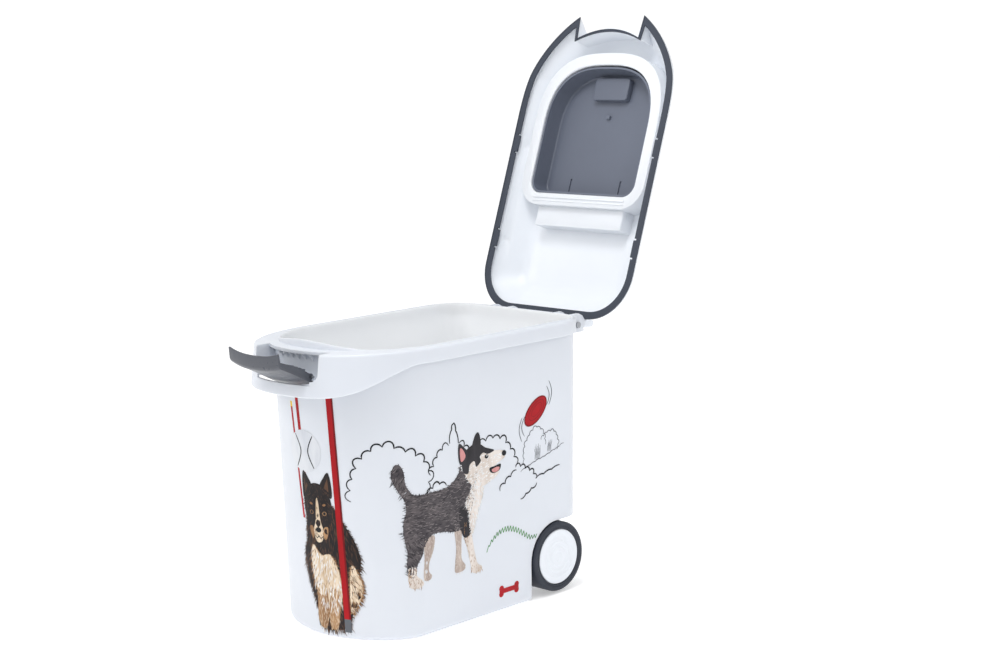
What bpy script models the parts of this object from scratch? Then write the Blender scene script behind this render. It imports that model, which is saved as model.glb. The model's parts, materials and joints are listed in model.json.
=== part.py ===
"""Wheeled pet food bin: a tub with an overhanging collar, a lid with a feed flap, a front latch and two wheels.

Metres, +Z up. The origin is on the floor under the tub. The front (latch) faces -Y, the hinge and the
wheels are at +Y, and the bin is symmetric about the plane x = 0. The lid rests open on its stop and the latch rests open.
"""
import math

import bpy
import bmesh
from mathutils import Matrix, Vector

# ---- driving dimensions ----
WALL = 0.0025                 # moulded wall
GAP = 0.0003                  # running gap between pieces that touch
RIM_Z = 0.366                 # top of the tub's rim
FLOOR_T = 0.003               # tub floor

BASE_HALF_W, BASE_REAR_Y, BASE_CORNER_R = 0.1165, 0.2375, 0.030
BASE_FRONT_Y0, BASE_FRONT_DEPTH, BASE_ROUNDNESS = -0.052, 0.081, 1.85
BASE_FILLET = 0.006
NECK_HALF_W, NECK_REAR_Y, NECK_CORNER_R = 0.1225, 0.2460, 0.034
NECK_FRONT_Y0, NECK_FRONT_DEPTH, NECK_ROUNDNESS = -0.025, 0.121, 2.0
MOUTH_FRONT_DEPTH = 0.110     # the mouth stops short of the front wall

COLLAR_HALF_W, COLLAR_REAR_Y, COLLAR_CORNER_R = 0.134, 0.254, 0.060
COLLAR_FRONT_Y0, COLLAR_FRONT_DEPTH, COLLAR_ROUNDNESS = 0.0, 0.1705, 2.39
COLLAR_FLARE = 0.006          # the skirt's lower edge at the front stands this far outside the rim
SKIRT_SIDE_Z, SKIRT_FRONT_Z = 0.3475, 0.313
SKIRT_SWOOP_START, SKIRT_SWOOP_END = -0.055, -0.165
CREST_H, CREST_HALF_W = 0.0090, 0.086   # raised arch of the mouth's front edge

RECESS_HALF_W, RECESS_FLOOR_Z = 0.060, 0.3325
RECESS_LIP_Y, RECESS_LIP_BOW = -0.1385, 0.0145   # lip over the recess: y at its ends, and its middle's bow
GUSSETS, GUSSET_PITCH, GUSSET_T = 6, 0.0116, 0.0016

LID_REAR_Y, LID_HALF_W, LID_CORNER_R = 0.268, 0.139, 0.066
LID_STRAIGHT, LID_FRONT_DEPTH, LID_ROUNDNESS = 0.326, 0.129, 1.63
LID_TAPER = 0.0035
LID_DOME = [(0.0008, 0.0028), (0.0015, 0.006), (0.007, 0.012), (0.016, 0.021), (0.026, 0.031), (0.035, 0.0395),
            (0.046, 0.0455), (0.060, 0.048)]      # (drawn in, height) of the dome's rings
NOTCH_HALF_W, NOTCH_TIP_HALF_W, NOTCH_CORNER_U, NOTCH_MID_U = 0.0575, 0.0602, 0.4015, 0.4150
LID_PIVOT_Y, LID_PIVOT_Z = 0.280, 0.3466
LID_OPEN = math.radians(110)

TRIM_H, TRIM_W, TRIM_NOTCH_W = 0.0025, 0.0105, 0.004
TAB_U = (0.1028, 0.2440)      # middles of the trim's snap tabs, from the lid's rear edge
TAB_L, TAB_SLOT = 0.024, 0.0025

FEED_HALF_W, FEED_REAR_U, FEED_FRONT_U = 0.098, 0.176, 0.366
FEED_STRAIGHT_U, FEED_ROUNDNESS, FEED_CORNER_R = 0.270, 2.8, 0.020
SURROUND_W, SURROUND_LOW_W = 0.015, 0.012        # pan round the feed opening: width, height over the rim
CHUTE_TOP_W, FLAP_FLOOR_W, FLAP_T = 0.0355, 0.041, 0.0028
SKIRT_LOW_W, SKIRT_PLAY, SKIRT_TAPER, SKIRT_FRONT_PLAY = 0.0148, 0.0008, 0.0026, 0.0017
FLAP_AXIS_U, FLAP_AXIS_W = 0.152, 0.0435
HINGE_PAN_HALF_W, HINGE_PAN_U, HINGE_PAN_W = 0.078, (0.133, 0.163), 0.024

RECESS_SILL_Z, RECESS_FLOOR_Y = 0.3280, -0.1555  # skirt's top edge under the latch, floor's front edge
LATCH_AXIS_Y, LATCH_AXIS_Z = -0.1620, 0.3385
LATCH_HALF_W, LATCH_LOW_Z, LATCH_TOP_Z, LATCH_T = 0.047, 0.333, 0.3915, 0.0028
LATCH_LIP, LATCH_LIP_RISE = 0.0165, 0.0060
RIB_T = 0.0016
LATCH_OPEN = math.radians(68)

WHEEL_Y, WHEEL_Z, WHEEL_R, WHEEL_FACE_X, WHEEL_W = 0.189, 0.050, 0.047, 0.121, 0.031
DISC_R, AXLE_R = 0.037, 0.004
BAY_R, BAY_IN_X = 0.0495, 0.076

ARC_STEPS, FRONT_STEPS = 6, 14


# ---- scene and mesh helpers ----
def clear_scene():
    for obj in list(bpy.data.objects):
        bpy.data.objects.remove(obj, do_unlink=True)


def plastic(name, color, roughness=0.4, metallic=0.0):
    mat = bpy.data.materials.get(name) or bpy.data.materials.new(name)
    mat.use_nodes = True
    bsdf = mat.node_tree.nodes["Principled BSDF"]
    bsdf.inputs["Base Color"].default_value = (*color, 1.0)
    bsdf.inputs["Roughness"].default_value = roughness
    bsdf.inputs["Metallic"].default_value = metallic
    return mat


def white():
    return plastic("white_plastic", (0.80, 0.82, 0.84))


def grey():
    return plastic("grey_plastic", (0.085, 0.10, 0.125))


def dark():
    return plastic("dark_plastic", (0.05, 0.052, 0.058))


def tyre_black():
    return plastic("tyre_plastic", (0.022, 0.025, 0.033), 0.6)


def steel():
    return plastic("steel", (0.55, 0.56, 0.58), 0.3, 1.0)


def object_from(name, verts, faces, material=None):
    """An object from vertices and faces, welded, with its faces turned outwards."""
    mesh = bpy.data.meshes.new(name)
    mesh.from_pydata([tuple(v) for v in verts], [], faces)
    bm = bmesh.new()
    bm.from_mesh(mesh)
    bmesh.ops.remove_doubles(bm, verts=bm.verts, dist=1e-7)
    bent = [f for f in bm.faces if len(f.verts) == 4]
    bmesh.ops.triangulate(bm, faces=bent)
    bmesh.ops.recalc_face_normals(bm, faces=bm.faces)
    if bm.calc_volume(signed=True) < 0:
        bmesh.ops.reverse_faces(bm, faces=bm.faces)
    bm.to_mesh(mesh)
    bm.free()
    obj = bpy.data.objects.new(name, mesh)
    bpy.context.scene.collection.objects.link(obj)
    if material:
        mesh.materials.append(material)
    return obj


def loft(name, rings, material=None, closed=False):
    """Joins rings of equally many points, and caps both ends unless the rings run round to the first."""
    count = len(rings[0])
    verts = [Vector(p) for ring in rings for p in ring]
    faces = []
    spans = len(rings) if closed else len(rings) - 1
    for r in range(spans):
        a, b = r * count, ((r + 1) % len(rings)) * count
        for i in range(count):
            j = (i + 1) % count
            faces.append((a + i, a + j, b + j, b + i))
    ends = [] if closed else [(0, rings[0]), ((len(rings) - 1) * count, rings[-1])]
    for start, ring in ends:
        if any(max(p[c] for p in ring) - min(p[c] for p in ring) < 1e-7 for c in (0, 2)):
            faces.append(tuple(range(start, start + count)))
            continue
        middle = len(verts)
        verts.append(sum((Vector(p) for p in ring), Vector()) / count)
        faces += [(start + i, start + (i + 1) % count, middle) for i in range(count)]
    return object_from(name, verts, faces, material)


def prism(name, outline, low, high, axis="Z", material=None):
    """Extrudes an outline: (x, y) along Z, or (y, z) along X."""
    place = (lambda p, h: (p[0], p[1], h)) if axis == "Z" else (lambda p, h: (h, p[0], p[1]))
    count = len(outline)
    verts = [place(p, low) for p in outline] + [place(p, high) for p in outline]
    sides = [(i, (i + 1) % count, count + (i + 1) % count, count + i) for i in range(count)]
    ends = [tuple(range(count)), tuple(range(count, 2 * count))]
    return object_from(name, verts, sides + ends, material)


def block(name, low, high, material=None):
    outline = [(low[0], low[1]), (high[0], low[1]), (high[0], high[1]), (low[0], high[1])]
    return prism(name, outline, low[2], high[2], "Z", material)


def turned(name, profile, centre, steps, material=None):
    """Turns a closed (radius, x) profile about an axis along X through the centre (y, z)."""
    rings = []
    for k in range(steps):
        angle = math.tau * k / steps
        cos, sin = math.cos(angle), math.sin(angle)
        rings.append([(x, centre[0] + r * cos, centre[1] + r * sin) for r, x in profile])
    return loft(name, rings, material, closed=True)


def rod(name, radius, x0, x1, centre, steps=20, material=None):
    """A solid round bar along X."""
    turns = [math.tau * k / steps for k in range(steps)]
    circle = [(centre[0] + radius * math.cos(a), centre[1] + radius * math.sin(a)) for a in turns]
    return prism(name, circle, x0, x1, "X", material)


def combine(target, other, operation):
    """Applies a Boolean to the target, and removes the other object."""
    modifier = target.modifiers.new("cut", "BOOLEAN")
    modifier.operation, modifier.object, modifier.solver = operation, other, "EXACT"
    depsgraph = bpy.context.evaluated_depsgraph_get()
    mesh = bpy.data.meshes.new_from_object(target.evaluated_get(depsgraph))
    target.modifiers.clear()
    target.data = mesh
    bpy.data.objects.remove(other, do_unlink=True)


def add(target, *others):
    for other in others:
        combine(target, other, "UNION")


def cut(target, *others):
    for other in others:
        combine(target, other, "DIFFERENCE")


def smooth(obj, angle=32):
    obj.data.shade_smooth()
    obj.data.set_sharp_from_angle(angle=math.radians(angle))
    return obj


def on_axis(obj, axis_empty, closed_origin):
    """Hangs a piece that was modelled in the closed position on its joint's empty."""
    obj.data.transform(Matrix.Translation(-Vector(closed_origin)))
    obj.parent = axis_empty
    return obj


def axis_empty(name, place, angle=0.0, parent=None):
    empty = bpy.data.objects.new(name, None)
    bpy.context.scene.collection.objects.link(empty)
    empty.empty_display_size = 0.02
    empty.location, empty.rotation_euler.x, empty.parent = place, angle, parent
    return empty


# ---- outlines ----
def half_to_ring(half):
    """Mirrors a half outline that runs from the rear middle to the front middle."""
    return half + [(-x, y) for x, y in reversed(half[1:-1])]


def arc(cx, cy, r, a0, a1, steps):
    return [(cx + r * math.cos(a0 + (a1 - a0) * k / steps), cy + r * math.sin(a0 + (a1 - a0) * k / steps))
            for k in range(steps + 1)]


def plan(half_w, rear_y, corner_r, front_y0, depth, roundness, inset=0.0):
    """A tub outline: straight rear and sides, round rear corners, and a superellipse front."""
    w, rear, r, d = half_w - inset, rear_y - inset, max(corner_r - inset, 0.004), depth - inset
    half = [(0.0, rear)] + arc(w - r, rear - r, r, math.pi / 2, 0.0, ARC_STEPS)
    for k in range(FRONT_STEPS + 1):
        t = math.pi / 2 * k / FRONT_STEPS
        x = w * math.cos(t) ** (2 / roundness) if k < FRONT_STEPS else 0.0
        half.append((x, front_y0 - d * math.sin(t) ** (2 / roundness)))
    return half_to_ring(half)


def base_plan(inset=0.0):
    return plan(BASE_HALF_W, BASE_REAR_Y, BASE_CORNER_R, BASE_FRONT_Y0, BASE_FRONT_DEPTH, BASE_ROUNDNESS, inset)


def neck_plan(inset=0.0):
    return plan(NECK_HALF_W, NECK_REAR_Y, NECK_CORNER_R, NECK_FRONT_Y0, NECK_FRONT_DEPTH, NECK_ROUNDNESS, inset)


def collar_plan(inset=0.0):
    return plan(COLLAR_HALF_W, COLLAR_REAR_Y, COLLAR_CORNER_R, COLLAR_FRONT_Y0, COLLAR_FRONT_DEPTH,
                COLLAR_ROUNDNESS, inset)


def mouth_plan(inset=0.0):
    return plan(NECK_HALF_W, NECK_REAR_Y, NECK_CORNER_R, NECK_FRONT_Y0, MOUTH_FRONT_DEPTH, NECK_ROUNDNESS, inset)


def body_ring(z, inset=0.0):
    """The tub wall's outline at a height, between the base and the neck."""
    k = z / RIM_Z
    return [(a[0] * (1 - k) + b[0] * k, a[1] * (1 - k) + b[1] * k, z)
            for a, b in zip(base_plan(inset), neck_plan(inset))]


def swoop(y):
    """0 along the sides, rising smoothly to 1 at the front."""
    t = min(max((SKIRT_SWOOP_START - y) / (SKIRT_SWOOP_START - SKIRT_SWOOP_END), 0.0), 1.0)
    return t * t * (3 - 2 * t)


def skirt_ring(inset):
    ring = []
    for x, y in collar_plan(inset):
        s = swoop(y)
        out = 1 + COLLAR_FLARE * s / COLLAR_FRONT_DEPTH
        ring.append((x * out, y * out, SKIRT_SIDE_Z + (SKIRT_FRONT_Z - SKIRT_SIDE_Z) * s))
    return ring


def collar_front_y(x):
    share = 1 - (abs(x) / COLLAR_HALF_W) ** COLLAR_ROUNDNESS
    return COLLAR_FRONT_Y0 - COLLAR_FRONT_DEPTH * share ** (1 / COLLAR_ROUNDNESS)


def crest(x, y):
    """Height of the mouth's raised front edge."""
    if y > 0 or abs(x) >= CREST_HALF_W:
        return 0.0006
    return 0.0006 + CREST_H * math.cos(math.pi / 2 * x / CREST_HALF_W) ** 1.3


def at(ring, z):
    return [(p[0], p[1], z) for p in ring]


# ---- tub ----
def bay_outline(grow):
    """Side view of a wheel bay: an arch over the wheel, open downwards and to the rear."""
    r = BAY_R + grow
    rear = BASE_REAR_Y + 0.03
    outline = [(rear, -0.02), (rear, WHEEL_Z + r)]
    outline += arc(WHEEL_Y, WHEEL_Z, r, math.pi / 2, math.pi, 10)
    return outline + [(WHEEL_Y - r, -0.02)]


def bay(name, side, grow):
    inner, outer = side * (BAY_IN_X - grow), side * 0.16
    return prism(name, bay_outline(grow), min(inner, outer), max(inner, outer), "X")


def tub_outside():
    """The wall up to the flange, the flange, the skirt hanging from it, and the rim."""
    flange_z = RIM_Z - 0.004
    rings = [
        [(x, y, 0.0) for x, y in base_plan(BASE_FILLET)],
        body_ring(BASE_FILLET * 0.3, BASE_FILLET * 0.3),
        body_ring(BASE_FILLET),
        body_ring(0.12),
        body_ring(0.24),
        body_ring(flange_z),
        at(collar_plan(0.003), flange_z),
        skirt_ring(0.003),
        skirt_ring(0.0),
        at(collar_plan(), RIM_Z - 0.003),
        at(collar_plan(0.0008), RIM_Z - 0.0009),
        at(collar_plan(0.003), RIM_Z),
        at(mouth_plan(-0.0012), RIM_Z),
        [(x, y, RIM_Z + crest(x, y) * 0.8) for x, y in mouth_plan(-0.0002)],
        [(x, y, RIM_Z + crest(x, y)) for x, y in mouth_plan(0.0008)],
    ]
    return loft("tub", rings, white())


def tub_cavity():
    rings = [
        [(x, y, FLOOR_T) for x, y in base_plan(WALL + 0.005)],
        body_ring(FLOOR_T + 0.005, WALL),
        body_ring(0.12, WALL),
        body_ring(0.24, WALL),
        body_ring(RIM_Z - 0.016, WALL),
        at(mouth_plan(WALL), RIM_Z - 0.0045),
        at(mouth_plan(WALL), RIM_Z + 0.03),
    ]
    cavity = loft("cavity", rings)
    for side in (-1, 1):
        cut(cavity, bay("bay_skin", side, WALL))
    return cavity


def lip_y(x):
    return RECESS_LIP_Y - RECESS_LIP_BOW * (1 - (x / RECESS_HALF_W) ** 2)


def recess_shape(half_w, back, front, low, high, name):
    xs = [half_w * (k / 6 - 1) for k in range(13)]
    outline = [(x, back(x)) for x in xs] + [(x, front(x)) for x in reversed(xs)]
    return prism(name, outline, low, high)


def add_latch_recess(tub):
    """Floor and side walls inside the collar's hollow, then the opening through skirt and flange."""
    side = RECESS_HALF_W + WALL
    inside = lambda x: collar_front_y(x) + 0.0008
    add(tub, recess_shape(side, lambda x: -0.115, inside, RECESS_FLOOR_Z - WALL, RECESS_FLOOR_Z, "recess_floor"))
    for s in (-1, 1):
        x0, x1 = sorted((s * RECESS_HALF_W, s * side))
        add(tub, block("recess_side", (x0, inside(side), RECESS_FLOOR_Z - 0.001), (x1, -0.105, RIM_Z - 0.002)))
    opening = recess_shape(RECESS_HALF_W, lip_y, lambda x: -0.19, RECESS_FLOOR_Z + 0.0002, RIM_Z + 0.02, "opening")
    cut(tub, opening)
    inner = RECESS_HALF_W - 0.010
    cut(tub, block("sill", (-inner, -0.19, RECESS_SILL_Z), (inner, RECESS_FLOOR_Y, RIM_Z - 0.01)))


def add_gussets(tub):
    for k in range(GUSSETS):
        x = (k - (GUSSETS - 1) / 2) * GUSSET_PITCH
        outline = [(-0.130, RIM_Z - 0.0022), (lip_y(x) + 0.0012, RIM_Z - 0.0022), (lip_y(x) + 0.0012, 0.3600),
                   (-0.1300, 0.3380)]
        add(tub, prism("gusset", outline, x - GUSSET_T / 2, x + GUSSET_T / 2, "X"))


def add_latch_lugs(tub):
    """Lugs that lean forwards from the recess floor to the latch's axis."""
    lug = arc(LATCH_AXIS_Y, LATCH_AXIS_Z, 0.0032, math.radians(45), math.radians(215), 8)
    lug += [(RECESS_FLOOR_Y + 0.0005, RECESS_FLOOR_Z - 0.001), (-0.1440, RECESS_FLOOR_Z - 0.001)]
    for s in (-1, 1):
        x0, x1 = sorted((s * 0.0385, s * 0.0425))
        add(tub, prism("latch_lug", lug, x0, x1, "X"))


def add_hinge_bracket(tub):
    """Two pairs of lugs behind the rear rim, tied by a ledge at the front and a stop bar at the rear."""
    side = [(0.2405, 0.3365), (0.2880, 0.3365), (0.2945, 0.3445), (0.2945, 0.3520), (0.2900, 0.3585),
            (0.2840, 0.3615), (0.2440, 0.3615)]
    for s in (-1, 1):
        for low, high in ((0.042, 0.047), (0.073, 0.080)):
            x0, x1 = sorted((s * low, s * high))
            add(tub, prism("hinge_lug", side, x0, x1, "X"))
        x0, x1 = sorted((s * 0.0425, s * 0.0795))
        add(tub, block("ledge", (x0, 0.2435, 0.3588), (x1, 0.2672, 0.3612)))
        add(tub, block("stop_bar", (x0, 0.2885, 0.3368), (x1, 0.2925, 0.3392)))


def add_wheel_bosses(tub):
    for s in (-1, 1):
        x0, x1 = sorted((s * (BAY_IN_X - 0.0015), s * (BAY_IN_X + 0.010)))
        add(tub, rod("boss", 0.010, x0, x1, (WHEEL_Y, WHEEL_Z), 24))


def drill(target, radius, x0, x1, centre, steps=20):
    cut(target, rod("drill", radius, min(x0, x1), max(x0, x1), centre, steps))


def make_tub():
    tub = tub_outside()
    add_latch_recess(tub)
    add_gussets(tub)
    add_latch_lugs(tub)
    add_hinge_bracket(tub)
    cut(tub, tub_cavity())
    for side in (-1, 1):
        cut(tub, bay("bay", side, 0.0))
    add_wheel_bosses(tub)
    for s in (-1, 1):
        drill(tub, AXLE_R + GAP, s * (BAY_IN_X + 0.0005), s * 0.11, (WHEEL_Y, WHEEL_Z))
        drill(tub, 0.0025 + GAP, s * 0.04, s * 0.09, (LID_PIVOT_Y, LID_PIVOT_Z))
        drill(tub, 0.0015 + GAP, s * 0.034, s * 0.055, (LATCH_AXIS_Y, LATCH_AXIS_Z))
    return smooth(tub)


# ---- lid, modelled closed: v across, u from the rear edge to the front, w up from the rim ----
LID_BASE_Z = RIM_Z + 0.0008


def lid_point(v, u, w):
    return (v, LID_REAR_Y - u, LID_BASE_Z + w)


def lid_outline(inset, notch_inset):
    """Half outlines with the latch notch, as (v, u)."""
    w, r, d = LID_HALF_W - inset, LID_CORNER_R - inset, LID_FRONT_DEPTH - inset
    half = [(0.0, inset)] + [(x, inset + r - y) for x, y in arc(w - r, 0.0, r, math.pi / 2, 0.0, ARC_STEPS)]
    tip_v = NOTCH_TIP_HALF_W + notch_inset
    last = math.acos((tip_v / w) ** (LID_ROUNDNESS / 2))
    for k in range(1, FRONT_STEPS + 1):
        t = last * k / FRONT_STEPS
        u = LID_STRAIGHT + d * math.sin(t) ** (2 / LID_ROUNDNESS)
        half.append(((w - LID_TAPER) * math.cos(t) ** (2 / LID_ROUNDNESS) + LID_TAPER * tip_v / w, u))
    corner_v, corner_u = NOTCH_HALF_W + notch_inset, NOTCH_CORNER_U - notch_inset
    bow = NOTCH_MID_U - NOTCH_CORNER_U
    for k in range(6):
        v = corner_v * (1 - k / 5)
        half.append((v, corner_u + bow * (1 - (v / corner_v) ** 2)))
    return [(v, u) for v, u in half] + [(-v, u) for v, u in reversed(half[1:-1])]


def lid_ring(inset, w, notch_inset=None):
    notch_inset = min(inset, 0.012) if notch_inset is None else notch_inset
    return [lid_point(v, u, w) for v, u in lid_outline(inset, notch_inset)]


def feed_outline(offset, short=0.0):
    """The D-shaped feed opening, grown outwards by the offset and shortened at the front, as (v, u)."""
    w, r = FEED_HALF_W + offset, FEED_CORNER_R + offset
    rear, d = FEED_REAR_U - offset, FEED_FRONT_U - FEED_STRAIGHT_U + offset - short
    half = [(0.0, rear)] + [(x, rear + r - y) for x, y in arc(w - r, 0.0, r, math.pi / 2, 0.0, 4)]
    for k in range(13):
        t = math.pi / 2 * k / 12
        v = w * math.cos(t) ** (2 / FEED_ROUNDNESS) if k < 12 else 0.0
        half.append((v, FEED_STRAIGHT_U + d * math.sin(t) ** (2 / FEED_ROUNDNESS)))
    return [(v, u) for v, u in half] + [(-v, u) for v, u in reversed(half[1:-1])]


def feed_loft(name, rings, short=0.0):
    """A D-shaped solid through rings of (offset, height)."""
    return loft(name, [[lid_point(v, u, w) for v, u in feed_outline(o, short)] for o, w in rings])


def feed_prism(name, offset, low_w, high_w):
    return feed_loft(name, [(offset, low_w), (offset, high_w)])


def lid_block(name, half_v, u_range, low_w, high_w):
    low, high = lid_point(-half_v, u_range[1], low_w), lid_point(half_v, u_range[0], high_w)
    return block(name, low, high)


def dome_ring(inset, w):
    """The dome's outline at one height, before the notch is cut from its front."""
    half_w, r, d = LID_HALF_W - inset, max(LID_CORNER_R - inset, 0.02), LID_FRONT_DEPTH - inset
    corner = arc(half_w - r, 0.0, r, math.pi / 2, 0.0, ARC_STEPS)
    half = [(0.0, inset)] + [(x, inset + r - y) for x, y in corner]
    for k in range(1, FRONT_STEPS + 3):
        t = math.pi / 2 * k / (FRONT_STEPS + 2)
        v = half_w * max(math.cos(t), 0.0) ** (2 / LID_ROUNDNESS) if k < FRONT_STEPS + 2 else 0.0
        half.append((v, LID_STRAIGHT + d * math.sin(t) ** (2 / LID_ROUNDNESS)))
    return [lid_point(v, u, w) for v, u in half + [(-v, u) for v, u in reversed(half[1:-1])]]


def dome(name, inset=0.0, drop=0.0, foot=0.0):
    """The lid's dome, drawn in by the inset, lowered by the drop, on a foot that reaches down."""
    rings = [dome_ring(inset + drawn, w - (drop if k else foot)) for k, (drawn, w) in enumerate(LID_DOME)]
    return loft(name, rings)


def under_dome(shape, inset=0.0, drop=0.0):
    """Trims a shape to the dome."""
    combine(shape, dome("dome_tool", inset, drop, 0.005), "INTERSECT")
    return shape


def notch_tool(grow):
    """The latch's notch in the front of the lid, grown on its sides and back."""
    slope = (NOTCH_TIP_HALF_W - NOTCH_HALF_W) / 0.0268
    corner_v, corner_u = NOTCH_HALF_W + grow, NOTCH_CORNER_U - grow
    half = [(corner_v + slope * (0.48 - corner_u), 0.48)]
    for k in range(6):
        v = corner_v * (1 - k / 5)
        half.append((v, corner_u + (NOTCH_MID_U - NOTCH_CORNER_U) * (1 - (v / corner_v) ** 2)))
    outline = half + [(-v, u) for v, u in reversed(half[:-1])]
    return prism("notch", [lid_point(v, u, 0)[:2] for v, u in outline], LID_BASE_Z - 0.02, LID_BASE_Z + 0.08)


def notch_arc_y(x):
    bow = NOTCH_MID_U - NOTCH_CORNER_U
    return LID_REAR_Y - NOTCH_CORNER_U - bow * (1 - (x / NOTCH_HALF_W) ** 2)


def add_catch_ledge(lid):
    """The shelf in the notch that the latch's lip closes over."""
    xs = [0.052 * (k / 6 - 1) for k in range(13)]
    front = [(x, notch_arc_y(x) - 0.0115) for x in xs]
    back = [(x, notch_arc_y(x) + 0.0020) for x in reversed(xs)]
    add(lid, prism("ledge", front + back, LID_BASE_Z + 0.0225, LID_BASE_Z + 0.0250))


def add_lid_arms(lid):
    """Hinge arms that reach down behind the trim to the pivot."""
    pivot = (LID_PIVOT_Y, LID_PIVOT_Z)
    outline = arc(pivot[0], pivot[1], 0.0062, math.radians(200), math.radians(380), 10)
    outline += [(0.2800, 0.3680), (0.2740, 0.3880), (0.2660, 0.3880), (0.2660, 0.3722), (0.2690, 0.3722)]
    for s in (-1, 1):
        x0, x1 = sorted((s * 0.050, s * 0.070))
        add(lid, prism("arm", outline, x0, x1, "X"))


def make_lid(axis):
    lid = dome("lid")
    lid.data.materials.append(white())
    hollow = dome("hollow", WALL, WALL, 0.005)
    cut(hollow, notch_tool(0.0008 + WALL))
    cut(lid, notch_tool(0.0008), hollow)
    add(lid, under_dome(feed_prism("pan", SURROUND_W + WALL, SURROUND_LOW_W, 0.08), 0.0005, 0.0005))
    hinge_pan = lid_block("hinge_pan", HINGE_PAN_HALF_W + WALL,
                          (HINGE_PAN_U[0] - WALL, HINGE_PAN_U[1]), HINGE_PAN_W - WALL, 0.08)
    add(lid, under_dome(hinge_pan, 0.0005, 0.0007))
    cut(lid, feed_prism("pan_space", SURROUND_W, SURROUND_LOW_W + WALL, 0.08))
    cut(lid, lid_block("hinge_space", HINGE_PAN_HALF_W, HINGE_PAN_U, HINGE_PAN_W, 0.08))
    add(lid, feed_prism("chute", WALL, SURROUND_LOW_W + 0.0005, CHUTE_TOP_W))
    cut(lid, feed_prism("feed_opening", 0.0, -0.01, 0.08))
    add_catch_ledge(lid)
    add_lid_arms(lid)
    flap_axis = lid_point(0, FLAP_AXIS_U, FLAP_AXIS_W)[1:]
    for s in (-1, 1):
        drill(lid, 0.0025 + GAP, s * 0.045, s * 0.075, (LID_PIVOT_Y, LID_PIVOT_Z))
        x0, x1 = sorted((s * 0.0765, s * 0.0815))
        boss = [(flap_axis[0] + 0.0042, LID_BASE_Z + 0.030), *arc(*flap_axis, 0.0036, 0.0, math.pi, 8),
                (flap_axis[0] - 0.0042, LID_BASE_Z + 0.030)]
        add(lid, prism("boss", boss, x0, x1, "X"))
        drill(lid, 0.0015 + GAP, s * 0.070, s * 0.0798, flap_axis)
    return on_axis(smooth(lid), axis, axis.location)


def make_trim(axis):
    """The ring between lid and rim, with snap tabs on its inner edge."""
    rings = [lid_ring(0.0, 0.0), lid_ring(0.0, TRIM_H), lid_ring(TRIM_W, TRIM_H, TRIM_NOTCH_W),
             lid_ring(TRIM_W, 0.0, TRIM_NOTCH_W)]
    trim = loft("lid_trim", rings, grey(), closed=True)
    inner_v = LID_HALF_W - TRIM_W
    for s in (-1, 1):
        for u in TAB_U:
            v0, v1 = sorted((s * (inner_v - 0.0012), s * (inner_v + 0.0012)))
            y = LID_REAR_Y - u
            tab = block("tab", (v0, y - TAB_L / 2, LID_BASE_Z + 0.0008), (v1, y + TAB_L / 2, LID_BASE_Z + 0.0075))
            add(trim, tab)
            for end in (-1, 1):
                middle = y + end * (TAB_L + TAB_SLOT) / 2
                v2, v3 = sorted((s * (inner_v - 0.004), s * (inner_v + 0.0035)))
                cut(trim, block("slot", (v2, middle - TAB_SLOT / 2, LID_BASE_Z - 0.01),
                                (v3, middle + TAB_SLOT / 2, LID_BASE_Z + 0.02)))
    return on_axis(smooth(trim), axis, axis.location)


# ---- feed flap ----
def flap_shell():
    """The cap that carries on the dome's slope, hollow underneath."""
    edge = SURROUND_W - 0.0014
    shell = under_dome(feed_prism("feed_flap", edge, 0.0275, 0.08))
    add(shell, under_dome(lid_block("tail", HINGE_PAN_HALF_W - 0.003, (0.1445, 0.170), 0.0425, 0.08)))
    inner = under_dome(feed_prism("inner", edge - WALL, -0.001, 0.08), WALL, WALL)
    cut(shell, inner)
    return shell


def flap_dish():
    """The tapered skirt inside the chute, closed at the top by the dish's floor."""
    low, high = (-SKIRT_PLAY, SKIRT_LOW_W), (-SKIRT_PLAY - SKIRT_TAPER, FLAP_FLOOR_W)
    dish = feed_loft("dish", [low, high, (high[0], FLAP_FLOOR_W + FLAP_T)], SKIRT_FRONT_PLAY)
    space = [(low[0] - WALL, low[1] - 0.001), (high[0] - WALL, FLAP_FLOOR_W)]
    cut(dish, feed_loft("space", space, SKIRT_FRONT_PLAY))
    return dish


def add_flap_knuckles(flap):
    centre = lid_point(0, FLAP_AXIS_U, FLAP_AXIS_W)[1:]
    top = LID_BASE_Z + 0.0460
    for s in (-1, 1):
        x0, x1 = sorted((s * 0.058, s * 0.0742))
        knuckle = arc(centre[0], centre[1], 0.0036, math.pi, math.tau, 10)
        knuckle += [(centre[0] + 0.0036, top), (centre[0] - 0.0036, top)]
        add(flap, prism("knuckle", knuckle, x0, x1, "X"))
        drill(flap, 0.0015 + GAP, s * 0.056, s * 0.080, centre)


def make_flap(axis, closed_origin):
    """A cap over the feed opening, with a dish that stands down inside the chute."""
    flap = flap_shell()
    flap.data.materials.append(grey())
    add(flap, flap_dish())
    grip_low, grip_u, top = 0.031, (0.320, 0.352), FLAP_FLOOR_W + 0.001
    add(flap, lid_block("grip", 0.032, grip_u, grip_low, top))
    cut(flap, lid_block("grip_space", 0.032 - WALL, (grip_u[0] + WALL, grip_u[1] - WALL), grip_low + WALL, 0.08))
    add(flap, lid_block("peg", 0.003, (0.294, 0.299), 0.0370, top))
    y = lambda u: LID_REAR_Y - u
    for s in (-1, 1):
        x0, x1 = sorted((s * 0.045, s * 0.048))
        cut(flap, block("slot", (x0, y(0.205), 0.30), (x1, y(0.186), LID_BASE_Z + FLAP_FLOOR_W + 0.0018)))
    add_flap_knuckles(flap)
    return on_axis(smooth(flap), axis, closed_origin)


# ---- latch, modelled closed ----
def latch_front_y(x, z):
    """The cover's outer face: it carries on the collar's front."""
    return collar_front_y(x) - 0.0005 - 0.10 * max(0.3725 - z, 0.0)


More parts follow.
